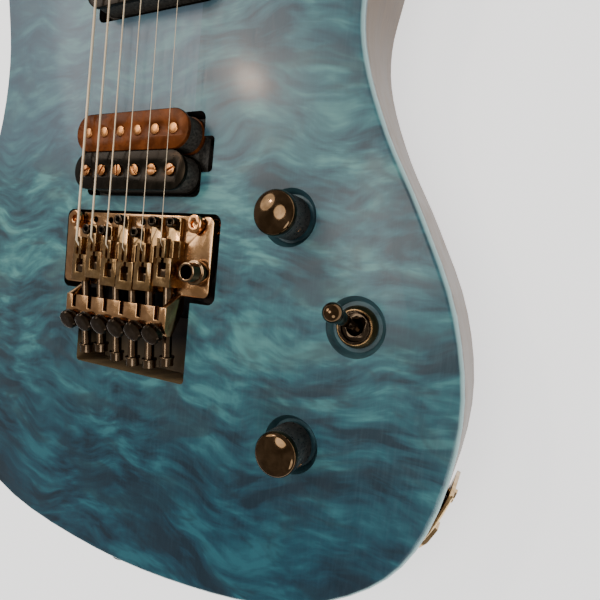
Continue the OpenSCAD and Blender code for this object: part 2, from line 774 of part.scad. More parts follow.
function saddle_screw_y(i) = front_screws[i] ? saddle_rows[1] : saddle_rows[0];

module saddle(i) {
    y0 = saddle_offsets[i];
    top = saddle_string_z(i) - gauges[i] / 2 - run;
    shoulder = top - 3.2;
    half = saddle_w / 2;
    translate([string_x(i, 0), 0, 0]) difference() {
        union() {
            box([-3.4, y0 - 2, plate_z], [3.4, saddle_screw_y(i) + 2.4, plate_z + 2]);
            box([-half, saddle_rear + y0, plate_z], [half, rail_y + y0, top - 1.6]);
            box([-half, rail_y - 0.1 + y0, plate_z], [half, 0.4 + y0, plate_z + 3]);
            box([-half + 0.7, rail_y - 0.1 + y0, plate_z], [half - 0.7, 0.3 + y0, shoulder]);
            box([-2.5, rail_y - 0.1 + y0, shoulder - 0.5], [2.5, 0.9 + y0, top]);
        }
        // window for the block that clamps the string, the string's slot and the clamp screw's way
        box([-2.3, window_y[0] + y0, plate_z + 1.2], [2.3, window_y[1] + y0, top + 1]);
        box([-0.8, window_y[1] - 0.1 + y0, top - 8.5], [0.8, -1.2 + y0, top + 1]);
        rod([0, saddle_rear - 1 + y0, clamp_axis_z(saddle_rear - 1 + y0)],
            [0, window_y[0] + 1 + y0, clamp_axis_z(window_y[0] + 1 + y0)], clamp_r + run);
        translate([0, saddle_screw_y(i), plate_z - 1]) cylinder(r = saddle_screw_r + run, h = 4);
    }
}

function clamp_axis_z(y) = face_z + 5.2 + (y + 15) * 3.7 / 42;

module saddles() {
    color("#6b5138") for (i = string_ids) saddle(i);
}

module saddle_screws() {
    color("#2b2725") for (i = string_ids)
        translate([string_x(i, 0), saddle_screw_y(i), 0]) difference() {
            union() {
                translate([0, 0, plate_base_z]) cylinder(r = saddle_screw_r, h = plate_t + 2.2);
                translate([0, 0, plate_z + 2]) cylinder(r = saddle_head_r, h = 3.6);
            }
            translate([0, 0, plate_z + 3.4]) cylinder(r = 1.3, h = 3, $fn = 6);
        }
}

module clamp_screws() {
    color("#241f1c") for (i = string_ids) {
        x = string_x(i, 0);
        y0 = saddle_offsets[i];
        end = clamp_end + y0;
        tip = window_y[0] + y0;
        difference() {
            union() {
                rod([x, tip, clamp_axis_z(tip)], [x, end + 2, clamp_axis_z(end + 2)], clamp_r);
                rod([x, end + 4.4, clamp_axis_z(end + 4.4)], [x, end + 3.4, clamp_axis_z(end + 3.4)], 3.5);
                rod([x, end + 3.5, clamp_axis_z(end + 3.5)], [x, end, clamp_axis_z(end)], 3.1);
            }
            translate([x, end - 1, clamp_axis_z(end)]) rotate([-90, 0, 0]) cylinder(r = 1.7, h = 3, $fn = 6);
        }
        // hardened block that pinches the string against the front of the window
        box([x - 2.2, tip + 0.3, plate_z + 1.3], [x + 2.2, tip + 3.6, face_z + 9]);
    }
}

module fine_tuner(i) {
    color("#1f1c1b") at_fine_tuner(i) {
        translate([0, 0, 0.4]) cylinder(r = tuner_knob_r, h = tuner_knob_t);
        translate([0, 0, -4.6]) cylinder(r = bar_screw_r, h = 5.4);
    }
}

module fine_tuner_1() { fine_tuner(0); }
module fine_tuner_2() { fine_tuner(1); }
module fine_tuner_3() { fine_tuner(2); }
module fine_tuner_4() { fine_tuner(3); }
module fine_tuner_5() { fine_tuner(4); }
module fine_tuner_6() { fine_tuner(5); }

module sustain_block() {
    z0 = plate_base_z - block_h;
    color("#8d8a84") {
        difference() {
            box([-block_x, block_y[0], z0], [block_x, block_y[1], plate_base_z]);
            for (x = [-18, 0, 18]) translate([x, -12, plate_base_z - 12]) cylinder(r = 2 + run, h = 14);
            for (x = [-22, -11, 0, 11, 22]) translate([x, block_y[1] - 3, z0 - 1]) cylinder(r = 1.3, h = 9);
        }
        for (x = [-18, 0, 18]) translate([x, -12, plate_base_z - 11]) cylinder(r = 2, h = 11 + plate_t);
    }
}

module arm_socket() {
    color("#1d1a19") difference() {
        union() {
            translate([arm_x, arm_y, plate_base_z - 4])
                cylinder(r = arm_collar_r, h = plate_t + 4 + arm_collar_h);
            translate([arm_x, arm_y, plate_z]) cylinder(r = arm_collar_r + 1.3, h = 4);
        }
        translate([arm_x, arm_y, plate_base_z - 5]) cylinder(r = arm_bore_r, h = plate_t + 6 + arm_collar_h);
    }
}

module pivot_studs() {
    for (x = [-stud_spacing / 2, stud_spacing / 2]) translate([x, stud_y, 0]) {
        color("#b08457") difference() {
            union() {
                translate([0, 0, recess_z - stud_insert_h + 2])
                    cylinder(r = 3.95, h = plate_base_z - recess_z + stud_insert_h - 4);
                translate([0, 0, plate_base_z - 3]) cylinder(r = stud_neck_r, h = plate_t + 5);
                translate([0, 0, plate_z + 1]) cylinder(r = stud_head_r, h = 2.2);
            }
            translate([0, 0, plate_z + 1.6]) cylinder(r = 1.9, h = 3, $fn = 6);
        }
        color("#777777") difference() {
            translate([0, 0, recess_z - stud_insert_h]) cylinder(r = stud_insert_r, h = stud_insert_h);
            translate([0, 0, recess_z - stud_insert_h - 1]) cylinder(r = 4, h = stud_insert_h + 2);
        }
    }
}

module spring_claw() {
    color("#8c8f92") difference() {
        box([-28, claw_y, spring_z - 4.5], [28, claw_y + claw_t, spring_z + 4.5]);
        for (x = [-claw_screw_x, claw_screw_x]) along_y([x, claw_y - 1, spring_z], 1.8, 5);
    }
    color("#6f7275") for (x = [-claw_screw_x, claw_screw_x]) {
        along_y([x, claw_y - 2.4, spring_z], 3.4, 2.4);
        along_y([x, claw_y - 1, spring_z], 1.75, 36);
    }
}

module tremolo_springs() {
    y0 = block_y[1] + gap;
    color("#9a9ca0") for (x = spring_xs) {
        along_y([x, y0, spring_z], 0.8, 16);
        along_y([x, y0 + 15, spring_z], spring_r, 70);
        along_y([x, y0 + 84, spring_z], 0.8, claw_y - y0 - 84 - gap);
    }
}

// ---------- pickups ----------

module capsule(len, w, z0, z1) {
    slot([-(len - w) / 2, 0], [(len - w) / 2, 0], w / 2, z0, z1);
}

module each_row() {
    for (y = pickup_ys, s = [-1, 1]) translate([0, y + s * row_pitch / 2, 0]) children();
}

module pickup_bobbins() {
    z0 = bobbin_z - bobbin_h;
    color("#161413") for (y = pickup_ys, s = [-1, 1]) translate([0, y + s * row_pitch / 2, 0]) difference() {
        union() {
            capsule(bobbin_l, bobbin_w, bobbin_z - flange_t, bobbin_z);
            capsule(bobbin_l, bobbin_w, z0, z0 + 1.4);
            capsule(core_l, core_w, z0, bobbin_z);
        }
        for (i = string_ids) translate([(i - 2.5) * pole_pitch, 0, z0 - 1]) {
            cylinder(r = s > 0 ? slug_r + run : 1.6 + run, h = bobbin_h + 2);
            if (s < 0) translate([0, 0, bobbin_h - 0.4 + 1 - 0.6]) cylinder(r = 2.7, h = 3);
        }
    }
}

module pickup_coils() {
    z0 = bobbin_z - bobbin_h + 1.4;
    color("#0f0e0e") each_row() difference() {
        capsule(bobbin_l - 2, bobbin_w - 1.6, z0, bobbin_z - flange_t);
        capsule(core_l + 2 * run, core_w + 2 * run, z0 - 1, bobbin_z);
    }
}

module pole_pieces() {
    z0 = base_z + base_t;
    color("#c98a4e") for (y = pickup_ys, i = string_ids) translate([(i - 2.5) * pole_pitch, y, 0]) {
        translate([0, row_pitch / 2, z0]) cylinder(r = slug_r, h = bobbin_z + 0.3 - z0);
        translate([0, -row_pitch / 2, 0]) difference() {
            union() {
                translate([0, 0, z0]) cylinder(r = 1.6, h = bobbin_z - z0);
                translate([0, 0, bobbin_z - 0.9]) cylinder(r = 2.6, h = 1.7);
            }
            rotate([0, 0, 20 + 37 * i]) translate([-4, -0.35, bobbin_z + 0.1]) cube([8, 0.7, 2]);
        }
    }
}

module pickup_bases() {
    color("#8b8378") for (y = pickup_ys) translate([0, y, 0]) {
        difference() {
            union() {
                box([-base_half, -base_w / 2, base_z], [base_half, base_w / 2, base_z + base_t]);
                for (s = [0, 1]) mirror([s, 0, 0]) {
                    box([base_half - base_t, -6, leg_z], [base_half, 6, base_z + base_t]);
                    box([base_half - base_t, -6, leg_z], [ear_reach - 0.5, 6, leg_z + base_t]);
                }
            }
            for (x = [-pickup_screw_x, pickup_screw_x]) translate([x, 0, leg_z - 1])
                cylinder(r = 1.5 + run, h = 4);
        }
        // bar magnet and the keeper that the screws pass through
        box([-31, -6, base_z + base_t], [31, 6, base_z + base_t + 3]);
    }
}

module pickup_screws() {
    color("#555250") for (x = [-pickup_screw_x, pickup_screw_x], y = pickup_ys) translate([x, y, 0]) {
        translate([0, 0, face_z - pickup_depth - 5.5])
            cylinder(r = 1.45, h = leg_z + base_t - face_z + pickup_depth + 5.5);
        translate([0, 0, leg_z + base_t]) cylinder(r = 2.7, h = 1.8);
    }
}

// ---------- controls ----------

module control_pots() {
    for (c = [controls[0], controls[2]]) translate([c[0], c[1], 0]) {
        color("#a7a39a") difference() {
            union() {
                translate([0, 0, core_t - pot_h]) cylinder(r = pot_r, h = pot_h);
                translate([0, 0, core_t - 1]) cylinder(r = bush_r, h = dish_z + 2.6 - core_t + 1);
            }
            translate([0, 0, core_t - pot_h + 1]) cylinder(r = shaft_r + run, h = 30);
        }
        color("#777777") difference() {
            translate([0, 0, dish_z]) cylinder(r = 6.8, h = 2, $fn = 6);
            translate([0, 0, dish_z - 1]) cylinder(r = bush_r + run, h = 4);
        }
    }
}

module control_shaft(c) {
    color("#b5b2aa") translate([c[0], c[1], core_t - pot_h + 1 + run])
        cylinder(r = shaft_r, h = knob_top_z - core_t + pot_h - 6);
}

module volume_shaft() { control_shaft(controls[0]); }
module tone_shaft() { control_shaft(controls[2]); }

module knob(c) {
    color("#101011") translate([c[0], c[1], 0]) {
        difference() {
            rotate_extrude($fn = 96) polygon(concat(
                [[0, knob_base_z + 2], [0, knob_base_z], [knob_r - 0.3, knob_base_z],
                    [knob_r, knob_base_z + 0.5], [knob_r, knob_top_z - 4.6]],
                [for (a = [0 : 15 : 90]) [knob_r - 3 + 3 * cos(a), knob_top_z - 4.2 + 3 * sin(a)]],
                [for (a = [1 : 5]) [(knob_r - 3) * (1 - a / 5), knob_top_z - 1.2 * pow(1 - a / 5, 2)]]));
            translate([0, 0, knob_base_z - 1]) cylinder(r = 7.3, h = 3);
            translate([0, 0, knob_base_z - 1]) cylinder(r = shaft_r + run, h = knob_top_z - knob_base_z - 3);
            rotate([0, 0, -35]) translate([0, 0, face_z + 5]) rotate([0, 90, 0])
                cylinder(r = 1.5 + run, h = 20);
        }
        color("#9a9a9a") rotate([0, 0, -35]) translate([shaft_r + 0.3, 0, face_z + 5]) rotate([0, 90, 0])
            cylinder(r = 1.5, h = knob_r - shaft_r - 1.2);
    }
}

module volume_knob() { knob(controls[0]); }
module tone_knob() { knob(controls[2]); }

module switch_body() {
    color("#3a3a3a") difference() {
        union() {
            translate([switch_x, switch_y, 0]) box([-7, -12, core_t - 20], [7, 12, core_t]);
            translate([switch_x, switch_y, core_t - 1])
                cylinder(r = switch_bush_r, h = face_z + 0.3 - core_t + 1);
        }
        translate([switch_x, switch_y, core_t - 4]) cylinder(r = 3.3, h = 14);
        translate([switch_x - 3, switch_y - 8, core_t - 16]) cube([6, 16, 13]);
    }
}

module switch_nut() {
    color("#2a2523") translate([switch_x, switch_y, 0]) difference() {
        union() {
            translate([0, 0, dish_z]) cylinder(r = 8.4, h = dish_depth);
            translate([0, 0, face_z - 0.2]) cylinder(r = 7.2, h = 1.2);
        }
        translate([0, 0, dish_z - 1]) cylinder(r = switch_bush_r + run, h = 8);
    }
}

module switch_lever() {
    color("#0d0d0e") translate([switch_x, switch_y, switch_pivot_z]) rotate([-lever_lean, 0, 0]) {
        sphere(r = 2.7);
        translate([0, 0, -6]) cylinder(r = 1.2, h = 6);
        cylinder(r1 = 2.1, r2 = 1.4, h = lever_l);
        translate([0, 0, lever_l]) sphere(r = tip_r);
    }
}

// ---------- jack, strap buttons and covers ----------

jack_screw_angle = 13;

module jack_screw_place(s) {
    at_jack() translate([-jack_bend_r, 0, 0]) rotate([0, 0, s * jack_screw_angle])
        translate([jack_bend_r, 0, 0]) children();
}

module jack_plate() {
    color("#a58a5c") difference() {
        at_jack() translate([-jack_bend_r, 0, -jack_plate_h / 2]) rotate([0, 0, -plate_half_angle])
            rotate_extrude(angle = 2 * plate_half_angle, $fn = 360)
                translate([jack_bend_r + 2 * seat, 0]) square([jack_plate_t, jack_plate_h]);
        at_jack() translate([-4, 0, 0]) rotate([0, 90, 0]) cylinder(r = jack_sleeve_r + run, h = 10);
        for (s = [-1, 1]) jack_screw_place(s) translate([-2, 0, 0]) rotate([0, 90, 0])
            cylinder(r = 1.5 + run, h = 6);
    }
    color("#8f8f8f") for (s = [-1, 1]) jack_screw_place(s) rotate([0, 90, 0]) {
        translate([0, 0, -9]) cylinder(r = 1.4, h = 10);
        translate([0, 0, jack_plate_t + 0.1]) cylinder(r = 2.9, h = 1.3);
    }
}

module output_jack() {
    at_jack() rotate([0, 90, 0]) {
        color("#c9a25e") difference() {
            union() {
                translate([0, 0, -30]) cylinder(r = 8.6, h = 29);
                translate([0, 0, -2]) cylinder(r = jack_sleeve_r, h = 6.4);
            }
            translate([0, 0, -29]) cylinder(r = jack_bore_r, h = 40);
        }
        color("#d0b070") difference() {
            translate([0, 0, jack_plate_t + 0.3]) cylinder(r = 6.6, h = 2.6, $fn = 6);
            cylinder(r = jack_sleeve_r + run, h = 10);
        }
    }
}

// Each strap button: its place, its height above the back, and the turn that points it outwards
strap_places = [[-12, -tail_reach - 2 * seat, 22, 90], [-106, bass_horn + seat, 22, -90]];

module strap_place(s) {
    translate([s[0], s[1], s[2]]) rotate([s[3], 0, 0]) children();
}

module strap_buttons() {
    for (s = strap_places) strap_place(s) {
        color("#4a4644") difference() {
            rotate_extrude() polygon([
                [0, 0], [7, 0], [7, 1.4], [4.2, 3], [4.2, 10], [7.6, 11.4], [7.6, 12.6], [0, 13]]);
            translate([0, 0, -1]) cylinder(r = 2.1, h = 20);
            translate([0, 0, 10.2]) cylinder(r = 3.7, h = 4);
        }
        color("#777777") {
            translate([0, 0, -28]) cylinder(r = 2.05, h = 39);
            translate([0, 0, 10.2]) cylinder(r = 3.6, h = 2.4);
        }
    }
}

module screw_hole_row() {
    for (p = cover_screw_places()) translate([p[0], p[1], -1]) {
        cylinder(r = 1.6, h = 6);
        cylinder(r = 2.4 + run, h = 2);
    }
}

function cover_screw_places() = concat(
    [for (x = [-1, 1], y = [spring_cavity_y[0], 35, spring_cavity_y[1]]) [x * (spring_cavity_x + 3), y]],
    [for (p = [[0, 100], [0, 195], [1, 0], [2, 170], [2, 285]])
        controls[p[0]] + (cavity_r + cover_lip / 2) * [cos(p[1]), sin(p[1])]]);

module back_covers() {
    color("#1b1b1c") difference() {
        union() {
            spring_cover_plan(0, 0, cover_t);
            control_spread(cavity_r + cover_lip, 0, cover_t);
        }
        screw_hole_row();
    }
}

module cover_screws() {
    color("#2b2b2c") for (p = cover_screw_places()) translate([p[0], p[1], 0]) {
        translate([0, 0, 0.05]) cylinder(r = 2.4, h = 0.95);
        translate([0, 0, 0.5]) cylinder(r = 1.25, h = 11);
    }
}

// ---------- strings ----------

// Round bar that follows a bent line, drawn as rings of flat sides in planes across Y
string_sides = 8;
module bent_wire(path, r) {
    n = len(path);
    polyhedron(
        points = [for (p = path, k = [0 : string_sides - 1])
            p + r * [cos(k * 360 / string_sides), 0, sin(k * 360 / string_sides)]],
        faces = concat(
            [[for (k = [0 : string_sides - 1]) string_sides - 1 - k]],
            [[for (k = [0 : string_sides - 1]) (n - 1) * string_sides + k]],
            [for (j = [0 : n - 2], k = [0 : string_sides - 1]) [
                j * string_sides + k, j * string_sides + (k + 1) % string_sides,
                (j + 1) * string_sides + (k + 1) % string_sides, (j + 1) * string_sides + k]]));
}

module strings() {
    color("#d9c9a8") for (i = string_ids) {
        r = gauges[i] / 2;
        x0 = string_x(i, 0);
        y0 = saddle_offsets[i];
        nut_end = scale_length + nut_shelf;
        post = post_at(i);
        bent_wire([
            [x0, y0 - 9.2, saddle_string_z(i) - 6], [x0, y0 - 1, saddle_string_z(i)],
            [string_x(i, nut_end), nut_end, nut_string_z(i)],
            [string_x(i, retainer_y), retainer_y, retainer_z - retainer_r - r - run],
            [post[0] + post_r + r + run, post[1], head_z + 8]], r);
    }
}

body_core();
body_top();
neck();
fretboard();
frets();
position_dots();
truss_rod();
neck_bolts();
nut_base();
nut_clamps();
nut_screws();
string_retainer();
tuner_housings();
tuner_bushings();
tuner_post_1();
tuner_post_2();
tuner_post_3();
tuner_post_4();
tuner_post_5();
tuner_post_6();
tuner_key_1();
tuner_key_2();
tuner_key_3();
tuner_key_4();
tuner_key_5();
tuner_key_6();
bridge_plate();
saddles();
saddle_screws();
clamp_screws();
fine_tuner_1();
fine_tuner_2();
fine_tuner_3();
fine_tuner_4();
fine_tuner_5();
fine_tuner_6();
sustain_block();
arm_socket();
pivot_studs();
spring_claw();
tremolo_springs();
pickup_bobbins();
pickup_coils();
pole_pieces();
pickup_bases();
pickup_screws();
control_pots();
volume_shaft();
tone_shaft();
volume_knob();
tone_knob();
switch_body();
switch_nut();
switch_lever();
jack_plate();
output_jack();
strap_buttons();
back_covers();
cover_screws();
strings();
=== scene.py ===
import math

import bmesh
import bpy
from mathutils import Matrix, Vector


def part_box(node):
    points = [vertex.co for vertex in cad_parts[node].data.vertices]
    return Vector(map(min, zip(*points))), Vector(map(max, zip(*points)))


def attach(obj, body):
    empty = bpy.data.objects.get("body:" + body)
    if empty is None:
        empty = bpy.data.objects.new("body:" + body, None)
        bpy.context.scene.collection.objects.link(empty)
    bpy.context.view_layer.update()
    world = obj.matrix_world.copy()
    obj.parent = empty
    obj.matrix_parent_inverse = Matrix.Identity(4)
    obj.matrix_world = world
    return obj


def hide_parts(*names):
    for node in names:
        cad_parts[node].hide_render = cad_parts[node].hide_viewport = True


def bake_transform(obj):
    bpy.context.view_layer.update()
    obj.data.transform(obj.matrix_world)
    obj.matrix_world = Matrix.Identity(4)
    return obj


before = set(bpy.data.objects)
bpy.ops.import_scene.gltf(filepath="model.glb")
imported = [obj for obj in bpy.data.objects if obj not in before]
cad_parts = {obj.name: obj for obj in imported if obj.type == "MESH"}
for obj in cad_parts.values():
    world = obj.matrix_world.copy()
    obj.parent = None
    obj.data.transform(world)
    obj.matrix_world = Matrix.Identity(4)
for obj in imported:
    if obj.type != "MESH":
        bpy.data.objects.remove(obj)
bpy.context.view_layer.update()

# ---- Camera, floor and studio light -------------------------------------------------------
# A plain pale floor under the guitar, which lies on its back. One broad soft light stands
# beyond the bass side, one hangs high over the waist, a small warm lamp stands over the horn,
# and a dim light fills from the tail.
camera = bpy.data.objects.new("camera", bpy.data.cameras.new("camera"))
bpy.context.collection.objects.link(camera)
right = Vector((0.89836845, 0.09600785, -0.42862177))
up = Vector((-0.11101111, 0.99376807, -0.01007729))
back = Vector((0.42498313, 0.05663489, 0.90342782))
turn = Matrix((right, up, back)).transposed()
camera.matrix_world = Matrix.Translation((0.168516, -0.008102, 0.209549)) @ turn.to_4x4()
camera.data.lens = 27.30
camera.data.sensor_width = 36
camera.data.clip_start = 0.005
bpy.context.scene.camera = camera

floor_mesh = bpy.data.meshes.new("floor")
bm = bmesh.new()
bmesh.ops.create_grid(bm, x_segments=1, y_segments=1, size=4)
bmesh.ops.translate(bm, verts=bm.verts, vec=(0, 0, -0.0006))
bm.to_mesh(floor_mesh)
bm.free()
floor = bpy.data.objects.new("floor", floor_mesh)
bpy.context.collection.objects.link(floor)
floor_paint = bpy.data.materials.new("floor_paint")
floor_paint.use_nodes = True
floor_shader = floor_paint.node_tree.nodes["Principled BSDF"]
floor_shader.inputs["Base Color"].default_value = (0.93, 0.93, 0.93, 1)
floor_shader.inputs["Roughness"].default_value = 0.9
floor_shader.inputs["Emission Color"].default_value = (1, 1, 1, 1)
floor_shader.inputs["Emission Strength"].default_value = 1.2
floor_mesh.materials.append(floor_paint)

world = bpy.data.worlds.new("studio")
bpy.context.scene.world = world
world.use_nodes = True
world.node_tree.nodes["Background"].inputs["Color"].default_value = (0.88, 0.84, 0.80, 1)
world.node_tree.nodes["Background"].inputs["Strength"].default_value = 0.34


def studio_light(name, place, aim, size, power, colour):
    lamp = bpy.data.lights.new(name, "AREA")
    lamp.shape = "DISK"
    lamp.size = size
    lamp.energy = power
    lamp.color = colour
    holder = bpy.data.objects.new(name, lamp)
    bpy.context.collection.objects.link(holder)
    holder.location = place
    holder.rotation_euler = (Vector(aim) - Vector(place)).to_track_quat("-Z", "Y").to_euler()


studio_light("broad_light", (-1.10, 0.75, 1.30), (0, 0.05, 0.04), 1.0, 8.5, (0.97, 0.95, 0.92))
studio_light("warm_lamp", (-0.563, 0.515, 0.97), (0.0575, 0.0713, 0.044), 0.06, 1.3,
             (1.0, 0.74, 0.56))
studio_light("high_light", (-0.12, 0.16, 1.25), (0.12, 0.01, 0.044), 0.55, 4.2,
             (1.0, 0.97, 0.92))
studio_light("tail_fill", (0.9, -1.0, 1.2), (0, 0, 0.04), 0.9, 8, (0.92, 0.96, 1.0))

# ---- Body: stained figured top ------------------------------------------------------------
# A cap of quilted maple, glued on the back and dyed blue so that the ripples of the grain stay
# light while the troughs take more stain. Its edge is rounded over, and a pale aqua line painted
# along it is a painted highlight.


def merged_copy(node):
    """The node's own surface as one closed mesh with its flat faces whole."""
    b = bmesh.new()
    b.from_mesh(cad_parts[node].data)
    bmesh.ops.remove_doubles(b, verts=b.verts, dist=2e-6)
    bmesh.ops.dissolve_limit(b, angle_limit=0.01, verts=b.verts, edges=b.edges)
    b.normal_update()
    return b


def round_edges(b, edges, width, segments):
    bmesh.ops.bevel(b, geom=edges, offset=width, offset_type="OFFSET", segments=segments,
                    profile=0.5, affect="EDGES", clamp_overlap=False, material=-1)


def crisp(b, low=0.6):
    """Edges between faces that meet at a real corner."""
    return [e for e in b.edges if e.is_manifold and e.calc_face_angle(0) > low]


def settle(b, name, material, body, slot_name, *nodes):
    """Makes the finished piece from its mesh, and lets it ride on its body; given two bodies, it
    is only fixed where it stands. Materials after the first are already on their faces."""
    materials = material if isinstance(material, list) else [material]
    for f in b.faces:
        f.smooth = True
    for e in b.edges:
        e.smooth = not (e.is_manifold and e.calc_face_angle(0) > 0.6)
    mesh = bpy.data.meshes.new(name)
    b.to_mesh(mesh)
    b.free()
    piece = bpy.data.objects.new(name, mesh)
    bpy.context.collection.objects.link(piece)
    for m in materials:
        mesh.materials.append(m)
    if isinstance(body, tuple):
        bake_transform(piece)
    else:
        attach(piece, body)
    if nodes:
        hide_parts(*nodes)
    return piece


def material_tree(name, **constants):
    """A material with its shader's own sockets set, ready for its nodes."""
    m = bpy.data.materials.new(name)
    m.use_nodes = True
    tree = m.node_tree
    shader = tree.nodes["Principled BSDF"]
    for socket, value in constants.items():
        shader.inputs[socket.replace("_", " ")].default_value = value
    return m, tree, shader


def put(tree, kind, **inputs):
    """A node with its plain inputs set; a socket given as a value is linked."""
    node = tree.nodes.new(kind)
    for key, value in inputs.items():
        if hasattr(node, key):
            setattr(node, key, value)
            continue
        name = key.replace("_", " ")
        socket = node.inputs[int(name[1:]) if name[0] == "s" and name[1:].isdigit() else name]
        if isinstance(value, bpy.types.NodeSocket):
            tree.links.new(value, socket)
        else:
            socket.default_value = value
    return node


def ramp(tree, value, *stops):
    node = tree.nodes.new("ShaderNodeValToRGB")
    band = node.color_ramp
    while len(band.elements) < len(stops):
        band.elements.new(0.5)
    for element, (place, colour) in zip(band.elements, stops):
        element.position = place
        element.color = (*colour, 1)
    tree.links.new(value, node.inputs["Fac"])
    return node.outputs["Color"]


def blend_colours(tree, amount, a, b, how="MIX"):
    node = tree.nodes.new("ShaderNodeMix")
    node.data_type = "RGBA"
    node.blend_type = how
    for socket, value in zip((node.inputs[0], node.inputs[6], node.inputs[7]), (amount, a, b)):
        if isinstance(value, bpy.types.NodeSocket):
            tree.links.new(value, socket)
        else:
            socket.default_value = value
    return node.outputs[2]


def stretched(tree, scale, place=(0, 0, 0), turned=0.0):
    """Object coordinates, stretched so that a pattern runs long in one direction."""
    where = tree.nodes.new("ShaderNodeTexCoord").outputs["Object"]
    node = put(tree, "ShaderNodeMapping", Vector=where, Scale=scale, Location=place,
               Rotation=(0, 0, turned))
    return node.outputs["Vector"]


def noise(tree, vector, scale, detail=4, rough=0.55, distortion=0.0):
    return put(tree, "ShaderNodeTexNoise", Vector=vector, Scale=scale, Detail=detail,
               Roughness=rough, Distortion=distortion).outputs["Fac"]


def spread(tree, value, low, high, to_low=0.0, to_high=1.0):
    return put(tree, "ShaderNodeMapRange", interpolation_type="SMOOTHSTEP", Value=value,
               From_Min=low, From_Max=high, To_Min=to_low, To_Max=to_high).outputs["Result"]


def maths(tree, how, a, b=0.0):
    return put(tree, "ShaderNodeMath", operation=how, s0=a, s1=b).outputs[0]


def height_bump(tree, shader, height, strength, distance):
    node = put(tree, "ShaderNodeBump", Height=height, Strength=strength, Distance=distance)
    tree.links.new(node.outputs["Normal"], shader.inputs["Normal"])


stained_top, tree, shader = material_tree("stained_top", Coat_Roughness=0.15)
place = tree.nodes.new("ShaderNodeTexCoord").outputs["Object"]
split = put(tree, "ShaderNodeSeparateXYZ", Vector=place)
across, along, height = split.outputs
# the figure: long rolls across the body, broken by fine ripples and bent, with bright crests
wander = put(tree, "ShaderNodeTexNoise", Vector=place, Scale=13.0, Detail=2.0).outputs["Color"]
bent = put(tree, "ShaderNodeVectorMath", operation="MULTIPLY_ADD", s0=wander,
           s1=(0.045, 0.050, 0.0), s2=place).outputs["Vector"]
rolled = put(tree, "ShaderNodeMapping", Vector=bent, Scale=(27, 66, 1), Rotation=(0, 0, 0.10))
broken = put(tree, "ShaderNodeMapping", Vector=bent, Scale=(62, 215, 1), Rotation=(0, 0, -0.12))
ripples = noise(tree, broken.outputs["Vector"], 1.0, 3, 0.55, 0.3)
troughs = noise(tree, rolled.outputs["Vector"], 1.0, 3, 0.5, 0.4)
troughs = maths(tree, "ADD", maths(tree, "MULTIPLY", troughs, 0.62),
                maths(tree, "MULTIPLY", ripples, 0.38))
crests = put(tree, "ShaderNodeTexNoise", noise_type="RIDGED_MULTIFRACTAL", normalize=True,
             Vector=rolled.outputs["Vector"], Scale=0.9, Detail=3.0, Roughness=0.5,
             Lacunarity=2.1).outputs["Fac"]
patches = noise(tree, stretched(tree, (26, 58, 1), (3, 1, 0)), 1.0, 3, 0.6, 0.7)
grain = noise(tree, stretched(tree, (900, 75, 1)), 1.0, 3, 0.65)
stain = ramp(tree, troughs,
             (0.39, (0.026, 0.058, 0.078)), (0.46, (0.036, 0.118, 0.150)),
             (0.53, (0.052, 0.190, 0.215)), (0.62, (0.125, 0.360, 0.350)))
stain = blend_colours(tree, spread(tree, crests, 0.50, 0.80, 0.0, 0.55), stain,
                      (0.17, 0.40, 0.40, 1))
stain = blend_colours(tree, spread(tree, patches, 0.48, 0.66, 0.0, 0.70), stain,
                      (0.050, 0.076, 0.094, 1))
stain = blend_colours(tree, spread(tree, grain, 0.42, 0.75, 0.0, 0.04), stain,
                      (0.30, 0.55, 0.60, 1))
# painted shade: the cap darkens towards the tail; painted sheen: it turns a paler grey towards the
# neck; and a greyish board lies beside the glue line under the strings
painted_shade_towards_tail = spread(tree, along, 0.0, -0.13, 0.0, 0.95)
stain = blend_colours(tree, painted_shade_towards_tail, stain, (0.13, 0.36, 0.50, 1), "MULTIPLY")
painted_sheen_towards_neck = spread(tree, along, -0.02, 0.20, 0.0, 0.30)
stain = blend_colours(tree, painted_sheen_towards_neck, stain, (0.12, 0.18, 0.24, 1))
board_side = maths(tree, "MULTIPLY", spread(tree, across, 0.0296, 0.0290, 0.0, 0.42),
                   spread(tree, along, 0.02, 0.06))
stain = blend_colours(tree, board_side, stain, (0.15, 0.22, 0.29, 1))
# the side of the cap in brown wood, and along the rounded edge a pale aqua line that is a painted
# highlight
side = spread(tree, height, 0.0422, 0.0402)
stain = blend_colours(tree, side, stain, (0.135, 0.088, 0.050, 1))
edge = maths(tree, "MULTIPLY", spread(tree, height, 0.0417, 0.0426),
             spread(tree, height, 0.04392, 0.0434))
stain = blend_colours(tree, maths(tree, "MULTIPLY", edge, 0.85), stain, (0.42, 0.66, 0.66, 1))
tree.links.new(stain, shader.inputs["Base Color"])
# the lacquer is thinner and duller on the side
tree.links.new(spread(tree, side, 0.0, 1.0, 0.24, 0.05), shader.inputs["Coat Weight"])
tree.links.new(spread(tree, side, 0.0, 1.0, 0.42, 0.18), shader.inputs["Specular IOR Level"])
tree.links.new(spread(tree, grain, 0.3, 0.8, 0.36, 0.50), shader.inputs["Roughness"])
height_bump(tree, shader, grain, 0.03, 0.0004)

b = merged_copy("body_top")
face_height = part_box("body_top")[1].z
controls = [(0.0822, 0.0143), (0.1148, -0.0263), (0.0925, -0.0777)]


def on_outline(e):
    """True for an edge of the face that lies on the body's outline and not round an opening."""
    if any(abs(v.co.z - face_height) > 1e-5 for v in e.verts):
        return False
    x, y, _ = (e.verts[0].co + e.verts[1].co) / 2
    openings = abs(x) < 0.055 and -0.075 < y < 0.158
    pocket = abs(x) < 0.0325 and y > 0.14 and abs(e.verts[0].co.x - e.verts[1].co.x) < 0.012
    dish = any(math.hypot(x - c[0], y - c[1]) < 0.016 for c in controls)
    return not (openings or pocket or dish)


rim = [e for e in crisp(b) if on_outline(e)]
round_edges(b, rim, 0.0024, 5)
